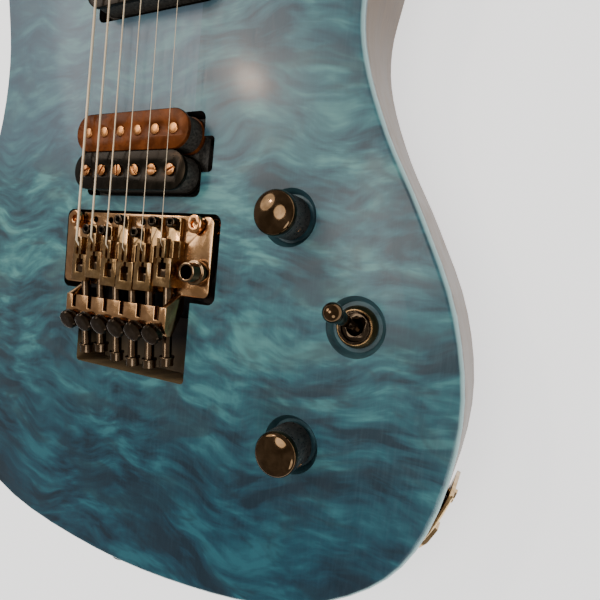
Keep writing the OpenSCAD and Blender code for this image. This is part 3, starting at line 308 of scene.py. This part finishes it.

# inside the routed openings the raw wood is dark and painted near-black as painted shade; only the
# tail wall shows its brown near the rim, fading into the painted shade further down; and the
# dishes are painted darker than the top as painted shade
routed_wood_painted_shade, tree, shader = material_tree("routed_wood_painted_shade", Specular_IOR_Level=0.3)
tool_marks = noise(tree, stretched(tree, (60, 60, 900)), 1.0, 4, 0.6)
raw_wood_and_painted_shade = ramp(tree, tool_marks, (0.35, (0.010, 0.009, 0.009)), (0.7, (0.040, 0.030, 0.024)))
split = put(tree, "ShaderNodeSeparateXYZ", Vector=tree.nodes.new("ShaderNodeTexCoord").outputs[3])
# painted shade: only the tail wall keeps its brown wood colour near the rim, darker further down
tail_wall_wood_fading_into_painted_shade = maths(tree, "MULTIPLY", spread(tree, split.outputs["Y"], -0.046, -0.060),
             spread(tree, split.outputs["Z"], 0.022, 0.044, 0.25, 1.0))
raw_wood_and_painted_shade = blend_colours(tree, tail_wall_wood_fading_into_painted_shade, raw_wood_and_painted_shade, (0.30, 0.215, 0.115, 1))
tree.links.new(raw_wood_and_painted_shade, shader.inputs["Base Color"])
tree.links.new(spread(tree, tool_marks, 0.3, 0.8, 0.45, 0.65), shader.inputs["Roughness"])
height_bump(tree, shader, tool_marks, 0.2, 0.0003)
# the dishes round the controls are painted darker than the top: painted shade in the recesses
dish_painted_shade, tree, shader = material_tree("dish_painted_shade", Specular_IOR_Level=0.45)
rings = noise(tree, stretched(tree, (70, 240, 300)), 1.0, 3, 0.6)
tree.links.new(ramp(tree, rings, (0.35, (0.026, 0.062, 0.078)), (0.7, (0.052, 0.130, 0.150))),
               shader.inputs["Base Color"])
tree.links.new(spread(tree, rings, 0.3, 0.8, 0.30, 0.42), shader.inputs["Roughness"])
height_bump(tree, shader, rings, 0.1, 0.0003)


def inside_openings(f):
    """1 on the walls and floors of the routed openings, 2 in the dishes, else 0."""
    x, y, z = f.calc_center_median()
    if z > face_height - 1e-5:
        return 0
    if any(math.hypot(x - c[0], y - c[1]) < 0.0135 for c in controls):
        return 2
    bridge_or_pickup = abs(x) < 0.055 and -0.075 < y < 0.154
    neck_pocket = abs(x) < 0.031 and y > 0.14 and abs(f.normal.y) < 0.5
    return 1 if bridge_or_pickup or neck_pocket else 0


for f in b.faces:
    f.material_index = inside_openings(f)
settle(b, "carved_top", [stained_top, routed_wood_painted_shade, dish_painted_shade], "body", "stained_top",
       "body_top")

# ---- Body: back ---------------------------------------------------------------------------
# One slab of plain mahogany under the cap, with the cavities routed from both faces. It is
# satin lacquered, tinted near the cap by the blue stain, and its back edge is rounded.
body_wood, tree, shader = material_tree(
    "body_wood", Specular_IOR_Level=0.16, Coat_Weight=0.06, Coat_Roughness=0.35)
place = tree.nodes.new("ShaderNodeTexCoord").outputs["Object"]
height = put(tree, "ShaderNodeSeparateXYZ", Vector=place).outputs["Z"]
streaks = noise(tree, stretched(tree, (120, 9, 70)), 1.0, 5, 0.6, 0.6)
pores = noise(tree, stretched(tree, (1400, 60, 900)), 1.0, 2, 0.5)
wood = ramp(tree, streaks, (0.30, (0.095, 0.058, 0.034)), (0.55, (0.150, 0.096, 0.058)),
            (0.75, (0.210, 0.140, 0.088)))
wood = blend_colours(tree, spread(tree, pores, 0.62, 0.70, 0.0, 0.5), wood,
                     (0.06, 0.04, 0.03, 1))
wood = blend_colours(tree, spread(tree, height, 0.018, 0.040, 0.0, 0.72), wood,
                     (0.130, 0.084, 0.048, 1))
tree.links.new(wood, shader.inputs["Base Color"])
tree.links.new(spread(tree, streaks, 0.3, 0.8, 0.34, 0.46), shader.inputs["Roughness"])
height_bump(tree, shader, pores, 0.15, 0.0003)

b = merged_copy("body_core")


def on_back_outline(e):
    if any(abs(v.co.z) > 1e-5 for v in e.verts):
        return False
    x, y, _ = (e.verts[0].co + e.verts[1].co) / 2
    spring_cover = abs(x) < 0.048 and -0.053 < y < 0.124
    bolts = abs(x) < 0.03 and y > 0.15 and e.calc_length() < 0.0035
    reach = [math.hypot(x - c[0], y - c[1]) < 0.0275 for c in controls]
    between = any(
        (Vector((x, y)) - (Vector(p) + (Vector(q) - Vector(p)) * t / 8)).length < 0.0275
        for p, q in zip(controls, controls[1:]) for t in range(9))
    strap_plate = (e.verts[0].co.xy - e.verts[1].co.xy).length < 0.0004
    return not (spring_cover or bolts or any(reach) or between or strap_plate)


round_edges(b, [e for e in crisp(b) if on_back_outline(e)], 0.003, 4)
# the cavity faces under the strings take the routed wood with its painted near-black shade
for f in b.faces:
    x, y, z = f.calc_center_median()
    near_strings = abs(x) < 0.055 and -0.075 < y < 0.154
    f.material_index = 1 if near_strings and z > 0.0015 else 0
settle(b, "body_back", [body_wood, routed_wood_painted_shade], "body", "body_wood", "body_core")

# ---- Neck: shaft, fretboard, frets, position dots and truss rod ---------------------------
# A bolt-on maple neck with an open-grained dark board glued on. Nickel-silver wire is pressed
# into the board's slots, pearl discs are let in, and a steel rod lies in its channel.
neck_wood, tree, shader = material_tree("neck_wood", Coat_Weight=0.2, Coat_Roughness=0.3)
streaks = noise(tree, stretched(tree, (190, 6, 150)), 1.0, 5, 0.6, 0.8)
curl = noise(tree, stretched(tree, (20, 160, 20)), 1.0, 2, 0.5, 0.5)
wood = ramp(tree, streaks, (0.3, (0.43, 0.27, 0.14)), (0.55, (0.56, 0.38, 0.21)),
            (0.8, (0.66, 0.47, 0.28)))
wood = blend_colours(tree, spread(tree, curl, 0.5, 0.7, 0.0, 0.25), wood, (0.72, 0.54, 0.33, 1))
tree.links.new(wood, shader.inputs["Base Color"])
tree.links.new(spread(tree, streaks, 0.3, 0.8, 0.30, 0.42), shader.inputs["Roughness"])
height_bump(tree, shader, streaks, 0.06, 0.0003)
b = merged_copy("neck")
round_edges(b, crisp(b, 0.9), 0.0005, 2)
settle(b, "neck_shaft", neck_wood, "body", "neck_wood", "neck")

board_wood, tree, shader = material_tree("board_wood", Specular_IOR_Level=0.4)
fibres = noise(tree, stretched(tree, (320, 10, 200)), 1.0, 5, 0.65, 0.5)
pores = noise(tree, stretched(tree, (2200, 90, 900)), 1.0, 2, 0.5)
wood = ramp(tree, fibres, (0.3, (0.020, 0.012, 0.009)), (0.6, (0.050, 0.028, 0.019)),
            (0.85, (0.095, 0.052, 0.032)))
wood = blend_colours(tree, spread(tree, pores, 0.6, 0.7, 0.0, 0.7), wood, (0.01, 0.007, 0.006, 1))
tree.links.new(wood, shader.inputs["Base Color"])
tree.links.new(spread(tree, fibres, 0.3, 0.8, 0.44, 0.60), shader.inputs["Roughness"])
height_bump(tree, shader, pores, 0.3, 0.0003)
settle(merged_copy("fretboard"), "fretboard_slab", board_wood, "body", "board_wood", "fretboard")


# one group gives every metal and plastic its own faint stains, smears and hairline scratches
marks = bpy.data.node_groups.new("surface_marks", "ShaderNodeTree")
for label, kind in (("Size", "NodeSocketFloat"), ("Low", "NodeSocketFloat"),
                    ("High", "NodeSocketFloat")):
    marks.interface.new_socket(label, in_out="INPUT", socket_type=kind)
for label in ("Mask", "Roughness", "Scratches"):
    marks.interface.new_socket(label, in_out="OUTPUT", socket_type="NodeSocketFloat")
given = marks.nodes.new("NodeGroupInput")
result = marks.nodes.new("NodeGroupOutput")
place = marks.nodes.new("ShaderNodeTexCoord").outputs["Object"]
smears = put(marks, "ShaderNodeTexNoise", Vector=place, Scale=given.outputs["Size"], Detail=4.0,
             Roughness=0.6, Distortion=0.4).outputs["Fac"]
marks.links.new(smears, result.inputs["Mask"])
rough = put(marks, "ShaderNodeMapRange", Value=smears, From_Min=0.35, From_Max=0.70,
            To_Min=given.outputs["Low"], To_Max=given.outputs["High"]).outputs["Result"]
marks.links.new(rough, result.inputs["Roughness"])
lines = noise(marks, stretched(marks, (260, 4200, 700), (0, 0, 0), 0.5), 1.0, 2, 0.5)
marks.links.new(lines, result.inputs["Scratches"])


def hard_surface(name, dull, bright, low, high, size=180.0, scratches=0.04, **constants):
    """A metal or plastic whose colour and gloss drift between two values."""
    m, tree, shader = material_tree(name, **constants)
    group = tree.nodes.new("ShaderNodeGroup")
    group.node_tree = marks
    group.inputs["Size"].default_value = size
    group.inputs["Low"].default_value = low
    group.inputs["High"].default_value = high
    colour = blend_colours(tree, spread(tree, group.outputs["Mask"], 0.30, 0.75),
                           (*dull, 1), (*bright, 1))
    tree.links.new(colour, shader.inputs["Base Color"])
    tree.links.new(group.outputs["Roughness"], shader.inputs["Roughness"])
    height_bump(tree, shader, group.outputs["Scratches"], scratches, 0.0002)
    return m


fret_wire = hard_surface("fret_wire", (0.60, 0.59, 0.56), (0.74, 0.73, 0.70), 0.16, 0.30,
                         Metallic=1.0)
settle(merged_copy("frets"), "fret_wires", fret_wire, "body", "fret_wire", "frets")
pearl = hard_surface("pearl", (0.62, 0.66, 0.64), (0.86, 0.83, 0.80), 0.12, 0.22, 420.0,
                     Coat_Weight=0.5, Coat_Roughness=0.1)
settle(merged_copy("position_dots"), "pearl_dots", pearl, "body", "pearl", "position_dots")
steel = hard_surface("steel", (0.36, 0.36, 0.36), (0.56, 0.56, 0.55), 0.24, 0.42, Metallic=1.0)
settle(merged_copy("truss_rod"), "truss_rod_bar", steel, "body", "steel", "truss_rod")
b = merged_copy("neck_bolts")
round_edges(b, crisp(b), 0.0002, 2)
settle(b, "neck_bolt_set", steel, "body", "steel", "neck_bolts")

# ---- Headstock: locking nut, string bar and tuners ----------------------------------------
# Black-nickel plated steel and die-cast zinc. Three pads clamp the strings on the nut, a round
# bar holds them down, and each tuner's key turns its post through a worm in the housing.
black_nickel = hard_surface("black_nickel", (0.17, 0.105, 0.055), (0.28, 0.18, 0.10), 0.09, 0.20,
                            240.0, Metallic=1.0)
dark_steel = hard_surface("dark_steel", (0.040, 0.028, 0.018), (0.085, 0.060, 0.040), 0.10, 0.20,
                          300.0, Metallic=1.0)


def plated(node, name, material, body, width, slot_name):
    """A machined piece with its sharp edges broken, as plating needs."""
    b = merged_copy(node)
    if width:
        round_edges(b, crisp(b), width, 2)
    return settle(b, name, material, body, slot_name, node)


plated("nut_base", "nut_block", black_nickel, "body", 0.00025, "black_nickel")
plated("nut_clamps", "nut_pads", black_nickel, "body", 0.0003, "black_nickel")
plated("nut_screws", "nut_pad_screws", dark_steel, "body", 0.00015, "dark_steel")
plated("string_retainer", "string_bar", black_nickel, "body", 0.00015, "black_nickel")
plated("tuner_housings", "tuner_cases", black_nickel, "body", 0.0005, "black_nickel")
plated("tuner_bushings", "tuner_collars", black_nickel, "body", 0.0002, "black_nickel")
for n in range(1, 7):
    plated(f"tuner_post_{n}", f"post_{n}", black_nickel, f"tuner_post_{n}", 0.0002,
           "black_nickel")
    plated(f"tuner_key_{n}", f"key_{n}", black_nickel, f"tuner_key_{n}", 0.0004,
           "black_nickel")

# ---- Bridge: base plate, saddles, screws and block ----------------------------------------
# A floating plate of stamped and polished steel that tips on two studs. Cast saddles stand on
# it, held by socket screws, and long screws from behind pinch the strings in the saddles.
mirror_nickel = hard_surface("mirror_nickel", (0.44, 0.235, 0.105), (0.62, 0.36, 0.18), 0.15, 0.28,
                             120.0, Metallic=1.0)
saddle_nickel = hard_surface("saddle_nickel", (0.27, 0.155, 0.066), (0.44, 0.28, 0.135), 0.16,
                             0.28, 200.0, Metallic=1.0)
bronze_steel = hard_surface("bronze_steel", (0.10, 0.065, 0.038), (0.18, 0.12, 0.072), 0.14, 0.27,
                            240.0, Metallic=1.0)
plated("bridge_plate", "tremolo_plate", mirror_nickel, "bridge", 0.00025, "black_nickel")
plated("saddles", "saddle_set", saddle_nickel, "bridge", 0.0002, "black_nickel")
plated("saddle_screws", "saddle_screw_set", dark_steel, "bridge", 0.0002, "dark_steel")
plated("clamp_screws", "clamp_screw_set", bronze_steel, "bridge", 0.0002, "dark_steel")
plated("sustain_block", "tremolo_block", steel, "bridge", 0.0004, "steel")
plated("arm_socket", "arm_collar", black_nickel, "bridge", 0.0003, "black_nickel")
copper_nickel = hard_surface("copper_nickel", (0.46, 0.21, 0.085), (0.66, 0.34, 0.15), 0.10, 0.20,
                             300.0, Metallic=1.0)
plated("pivot_studs", "knife_studs", copper_nickel, "body", 0.0002, "black_nickel")

# ---- Bridge: fine tuners ------------------------------------------------------------------
# Six knurled thumb screws through the bar at the rear. Each bears on a saddle's clamp screw,
# and leans back so that fingers reach it.


def knurled_knob(profile, steps, grip, depth):
    """A turned knob: its outline is spun round, and the grip cut with crossing grooves."""
    b = bmesh.new()
    ring = [b.verts.new((r, 0, z)) for r, z in profile]
    line = [b.edges.new(pair) for pair in zip(ring, ring[1:])]
    bmesh.ops.spin(b, geom=ring + line, cent=(0, 0, 0), axis=(0, 0, 1), angle=math.tau,
                   steps=steps, use_merge=True)
    bmesh.ops.remove_doubles(b, verts=b.verts, dist=1e-6)
    bmesh.ops.recalc_face_normals(b, faces=b.faces)
    heights = sorted({round(z, 7) for r, z in profile if grip[0] < z < grip[1]})
    for v in b.verts:
        z = round(v.co.z, 7)
        if z in heights and v.co.xy.length > grip[2]:
            turn = round(math.atan2(v.co.y, v.co.x) / math.tau * steps)
            if (turn + heights.index(z)) % 2:
                v.co.xy *= 1 - depth / v.co.xy.length
    return b


tuner_r = 0.0047
tuner_side = [(tuner_r, 0.0009 + 0.0026 * k / 5) for k in range(6)]
lean = Matrix.Rotation(math.radians(25), 4, "X")
for n in range(6):
    profile = [(0, 0.0004), (0.0040, 0.0004), *tuner_side, (0.0042, 0.0043), (0.0034, 0.00458),
               (0.0017, 0.0045), (0, 0.0045)]
    b = knurled_knob(profile, 48, (0.0010, 0.0034, 0.0045), 0.00028)
    stem = bmesh.ops.create_cone(b, cap_ends=True, segments=24, radius1=0.0015, radius2=0.0015,
                                 depth=0.0052)
    bmesh.ops.translate(b, verts=stem["verts"], vec=(0, 0, -0.0019))
    bmesh.ops.transform(b, matrix=Matrix.Translation(((n - 2.5) * 0.0106, -0.0396, 0.0546)) @ lean,
                        verts=b.verts)
    settle(b, f"thumb_screw_{n + 1}", dark_steel, f"fine_tuner_{n + 1}", "dark_steel",
           f"fine_tuner_{n + 1}")

# ---- Springs in the back ------------------------------------------------------------------
# Three steel coil springs pull the block against the strings, hooked to a claw screwed into the
# end of the cavity.
plated("spring_claw", "claw", steel, "body", 0.0002, "steel")
spring_wire = hard_surface("spring_wire", (0.34, 0.34, 0.35), (0.60, 0.60, 0.60), 0.2, 0.35,
                           Metallic=1.0)
b = bmesh.new()
for x in (-0.022, 0, 0.022):
    low_y, high_y, turns, around = 0.0095, 0.0785, 46, 16
    coil = bmesh.ops.create_circle(b, segments=6, radius=0.00055, cap_ends=True)
    bmesh.ops.rotate(b, verts=coil["verts"], matrix=Matrix.Rotation(math.pi / 2, 3, "Y"))
    bmesh.ops.translate(b, verts=coil["verts"], vec=(x, low_y, 0.009 + 0.0036))
    face = [f for f in b.faces if all(v in coil["verts"] for v in f.verts)]
    bmesh.ops.spin(b, geom=face, cent=(x, low_y, 0.009), axis=(0, 1, 0),
                   angle=math.tau * turns, steps=around * turns,
                   dvec=(0, (high_y - low_y) / (around * turns), 0))
    for y0, y1 in ((-0.0054, low_y), (high_y, 0.0972)):
        hook = bmesh.ops.create_cone(b, cap_ends=True, segments=12, radius1=0.0006,
                                     radius2=0.0006, depth=y1 - y0)
        bmesh.ops.rotate(b, verts=hook["verts"], matrix=Matrix.Rotation(math.pi / 2, 3, "X"))
        bmesh.ops.translate(b, verts=hook["verts"], vec=(x, (y0 + y1) / 2, 0.009))
bmesh.ops.recalc_face_normals(b, faces=b.faces)
still_end, moving_end = (0, 0.045, 0.009), (0, 0.012, 0.009)
settle(b, "coil_springs", spring_wire, ("body", "bridge", still_end, moving_end), "steel",
       "tremolo_springs")

# ---- Pickups ------------------------------------------------------------------------------
# Two coils of fine wire on moulded black bobbins, wrapped in cloth tape; one bobbin of each pickup
# is painted orange-brown as a painted reflection.
# Copper-coloured slugs and slotted screws stand in them, on a plate screwed to the cavity.
# the warm specular tints of both bobbin plastics paint a warm reflection
black_plastic = hard_surface("black_plastic", (0.004, 0.004, 0.003), (0.012, 0.010, 0.007), 0.16,
                             0.30, 160.0, Specular_IOR_Level=0.14,
                             Specular_Tint=(1.0, 0.70, 0.45, 1))
bobbin_painted_brown_reflection = hard_surface("bobbin_painted_brown_reflection", (0.060, 0.014, 0.003), (0.23, 0.062, 0.014), 0.20,
                             0.34, 90.0, Specular_IOR_Level=0.14,
                             Specular_Tint=(1.0, 0.55, 0.30, 1))
coil_tape = hard_surface("coil_tape", (0.018, 0.016, 0.014), (0.13, 0.115, 0.095), 0.5, 0.7, 900.0,
                         0.3)
warm_nickel = hard_surface("warm_nickel", (0.44, 0.18, 0.06), (0.62, 0.29, 0.11), 0.22, 0.34,
                           300.0, Metallic=1.0)
b = merged_copy("pickup_bobbins")
round_edges(b, crisp(b), 0.0003, 2)
# one bobbin of each pickup is painted orange-brown: a painted reflection
painted_reflection_rows = ((0.041, 0.056), (0.127, 0.15))
for f in b.faces:
    middle = f.calc_center_median().y
    f.material_index = int(any(low < middle < high for low, high in painted_reflection_rows))
settle(b, "bobbins", [black_plastic, bobbin_painted_brown_reflection], "body", "black_plastic", "pickup_bobbins")
plated("pickup_coils", "taped_coils", coil_tape, "body", 0, "coil_tape")
plated("pole_pieces", "poles", warm_nickel, "body", 0.0002, "warm_nickel")
plated("pickup_bases", "pickup_plates", coil_tape, "body", 0.0002, "warm_nickel")
plated("pickup_screws", "pickup_mounting_screws", dark_steel, "body", 0.0002, "dark_steel")

# ---- Controls: pots, shafts, knobs and selector switch ------------------------------------
# Two pots under the top turn with plated dome knobs, knurled on the side and held by a set
# screw. The selector is a toggle with a ball-ended lever in a stepped, knurled dress nut.
pot_metal = hard_surface("pot_metal", (0.13, 0.10, 0.075), (0.24, 0.19, 0.14), 0.2, 0.35,
                         Metallic=1.0)
plated("control_pots", "pots", pot_metal, "body", 0.0003, "pot_metal")
plated("volume_shaft", "volume_spindle", pot_metal, "volume", 0, "pot_metal")
plated("tone_shaft", "tone_spindle", pot_metal, "tone", 0, "pot_metal")
knob_plate = hard_surface("knob_plate", (0.065, 0.038, 0.018), (0.15, 0.092, 0.048), 0.05, 0.13,
                          150.0, 0.02, Metallic=1.0)
grip_steel = hard_surface("grip_steel", (0.050, 0.050, 0.048), (0.115, 0.108, 0.098), 0.26, 0.40,
                          700.0, 0.02, Metallic=0.35)
knob_r, knob_low, knob_high, grip_high = 0.009, 0.0422, 0.0596, 0.0126
side = [(knob_r, knob_low + 0.0006 + 0.0122 * k / 18) for k in range(19)]
crown = [(knob_r - 0.0022 + 0.0022 * math.cos(a), knob_high - 0.0033 + 0.0022 * math.sin(a))
         for a in (math.radians(15 * k) for k in range(0, 6))]
dome = [((knob_r - 0.0024) * (1 - k / 7), knob_high - 0.0009 * (1 - k / 7) ** 2)
        for k in range(1, 8)]
for n, (x, y) in (("volume", controls[0]), ("tone", controls[2])):
    b = knurled_knob([(0, knob_low + 0.002), (0.0072, knob_low + 0.002), (0.0074, knob_low),
                      (knob_r - 0.0003, knob_low), *side, *crown, *dome],
                     120, (knob_low + 0.0011, knob_low + 0.0122, 0.0085), 0.00022)
    bmesh.ops.translate(b, verts=b.verts, vec=(x, y, 0))
    for f in b.faces:
        f.material_index = int(f.calc_center_median().z < knob_low + grip_high)
    settle(b, f"{n}_dome_knob", [knob_plate, grip_steel], n, "black_knob", f"{n}_knob")
    b = bmesh.new()
    bmesh.ops.create_cone(b, cap_ends=True, segments=24, radius1=0.0013, radius2=0.0013,
                          depth=0.0007)
    top = max((f for f in b.faces), key=lambda f: f.calc_center_median().z)
    bmesh.ops.inset_individual(b, faces=[top], thickness=0.0006, depth=0)
    bmesh.ops.translate(b, verts=top.verts, vec=(0, 0, -0.0005))
    out = Matrix.Rotation(math.radians(-35), 4, "Z") @ Matrix.Rotation(math.pi / 2, 4, "Y")
    bmesh.ops.transform(b, verts=b.verts, matrix=Matrix.Translation((x, y, 0.049)) @ out
                        @ Matrix.Translation((0, 0, knob_r - 0.0004)))
    settle(b, f"{n}_set_screw", copper_nickel, n, "steel")

plated("switch_body", "switch_case", dark_steel, "body", 0.0002, "pot_metal")
sx, sy = controls[1]
steps = [(0.0084, 0.0408), (0.0084, 0.0425), (0.0082, 0.0429), (0.0074, 0.0444),
         (0.0070, 0.0449), (0.0066, 0.0449), (0.0065, 0.0445), (0.0062, 0.0445),
         (0.0060, 0.0450), (0.00565, 0.0450), (0.00565, 0.0408), (0.0084, 0.0408)]
b = bmesh.new()
ring = [b.verts.new((r, 0, z)) for r, z in steps[:-1]]
line = [b.edges.new((ring[k], ring[(k + 1) % len(ring)])) for k in range(len(ring))]
bmesh.ops.spin(b, geom=ring + line, cent=(0, 0, 0), axis=(0, 0, 1), angle=math.tau, steps=120,
               use_merge=True)
bmesh.ops.remove_doubles(b, verts=b.verts, dist=1e-6)
bmesh.ops.recalc_face_normals(b, faces=b.faces)
for v in b.verts:
    count = round(math.atan2(v.co.y, v.co.x) / math.tau * 120)
    if 0.0424 < v.co.z < 0.0430 and count % 2:
        v.co.xy *= 0.965
bush_r = 0.0066
for f in b.faces:
    f.material_index = int(f.calc_center_median().xy.length < bush_r)
bmesh.ops.translate(b, verts=b.verts, vec=(sx, sy, 0))
settle(b, "dress_nut", [saddle_nickel, dark_steel], "body", "dark_steel", "switch_nut")

lever = [(0, -0.0060), (0.0012, -0.0060), (0.0012, -0.0025), (0.0026, -0.0008), (0.0027, 0.0004),
         (0.0024, 0.0016), (0.0019, 0.0026), (0.0018, 0.0060), (0.0021, 0.0110),
         (0.0027, 0.0180), (0.0029, 0.0226), (0.0028, 0.0238)]
lever += [(0.0036 * math.sin(a), 0.027 - 0.0036 * math.cos(a))
          for a in (math.radians(52 + 8 * k) for k in range(17))]
b = knurled_knob(lever, 48, (1, 1, 1), 0)
lean = Matrix.Rotation(math.radians(-14), 4, "X")
bmesh.ops.transform(b, verts=b.verts, matrix=Matrix.Translation((sx, sy, 0.043)) @ lean)
settle(b, "toggle_lever", knob_plate, "switch_lever", "black_knob", "switch_lever")

# ---- Jack, strap buttons and back covers --------------------------------------------------
# A curved plate screwed to the side carries the output jack. Two strap buttons stand on the
# rim, and two black laminate covers close the cavities in the back.
gold_nickel = hard_surface("gold_nickel", (0.42, 0.27, 0.12), (0.64, 0.45, 0.24), 0.12, 0.24,
                           300.0, Metallic=1.0)
plated("jack_plate", "side_plate", gold_nickel, "body", 0.0002, "gold_nickel")
plated("output_jack", "jack", gold_nickel, "body", 0.0002, "gold_nickel")
plated("strap_buttons", "strap_pins", black_nickel, "body", 0.0003, "black_nickel")
cover_plastic = hard_surface("cover_plastic", (0.018, 0.018, 0.019), (0.040, 0.040, 0.042), 0.38,
                             0.52, 500.0, 0.15)
plated("back_covers", "cavity_covers", cover_plastic, "body", 0.0003, "black_plastic")
plated("cover_screws", "cover_screw_set", dark_steel, "body", 0.00012, "dark_steel")

# ---- Strings ------------------------------------------------------------------------------
# Bright steel, plain on the treble side and wound on the bass side, from the saddles over the nut
# to the posts. In front of the saddles they are cut into short lengths.
string_steel = hard_surface("string_steel", (0.95, 0.72, 0.46), (1.0, 0.84, 0.60), 0.34, 0.46,
                            60.0, 0.0, Metallic=0.1)
still_end, moving_end = Vector((0, 0.020, 0.056)), Vector((0, 0.002, 0.056))
b = merged_copy("strings")
for k in range(13):
    bmesh.ops.bisect_plane(b, geom=b.verts[:] + b.edges[:] + b.faces[:], plane_no=(0, 1, 0),
                           plane_co=moving_end.lerp(still_end, k / 12))
settle(b, "string_set", string_steel, ("body", "bridge", still_end, moving_end), "string_steel",
       "strings")
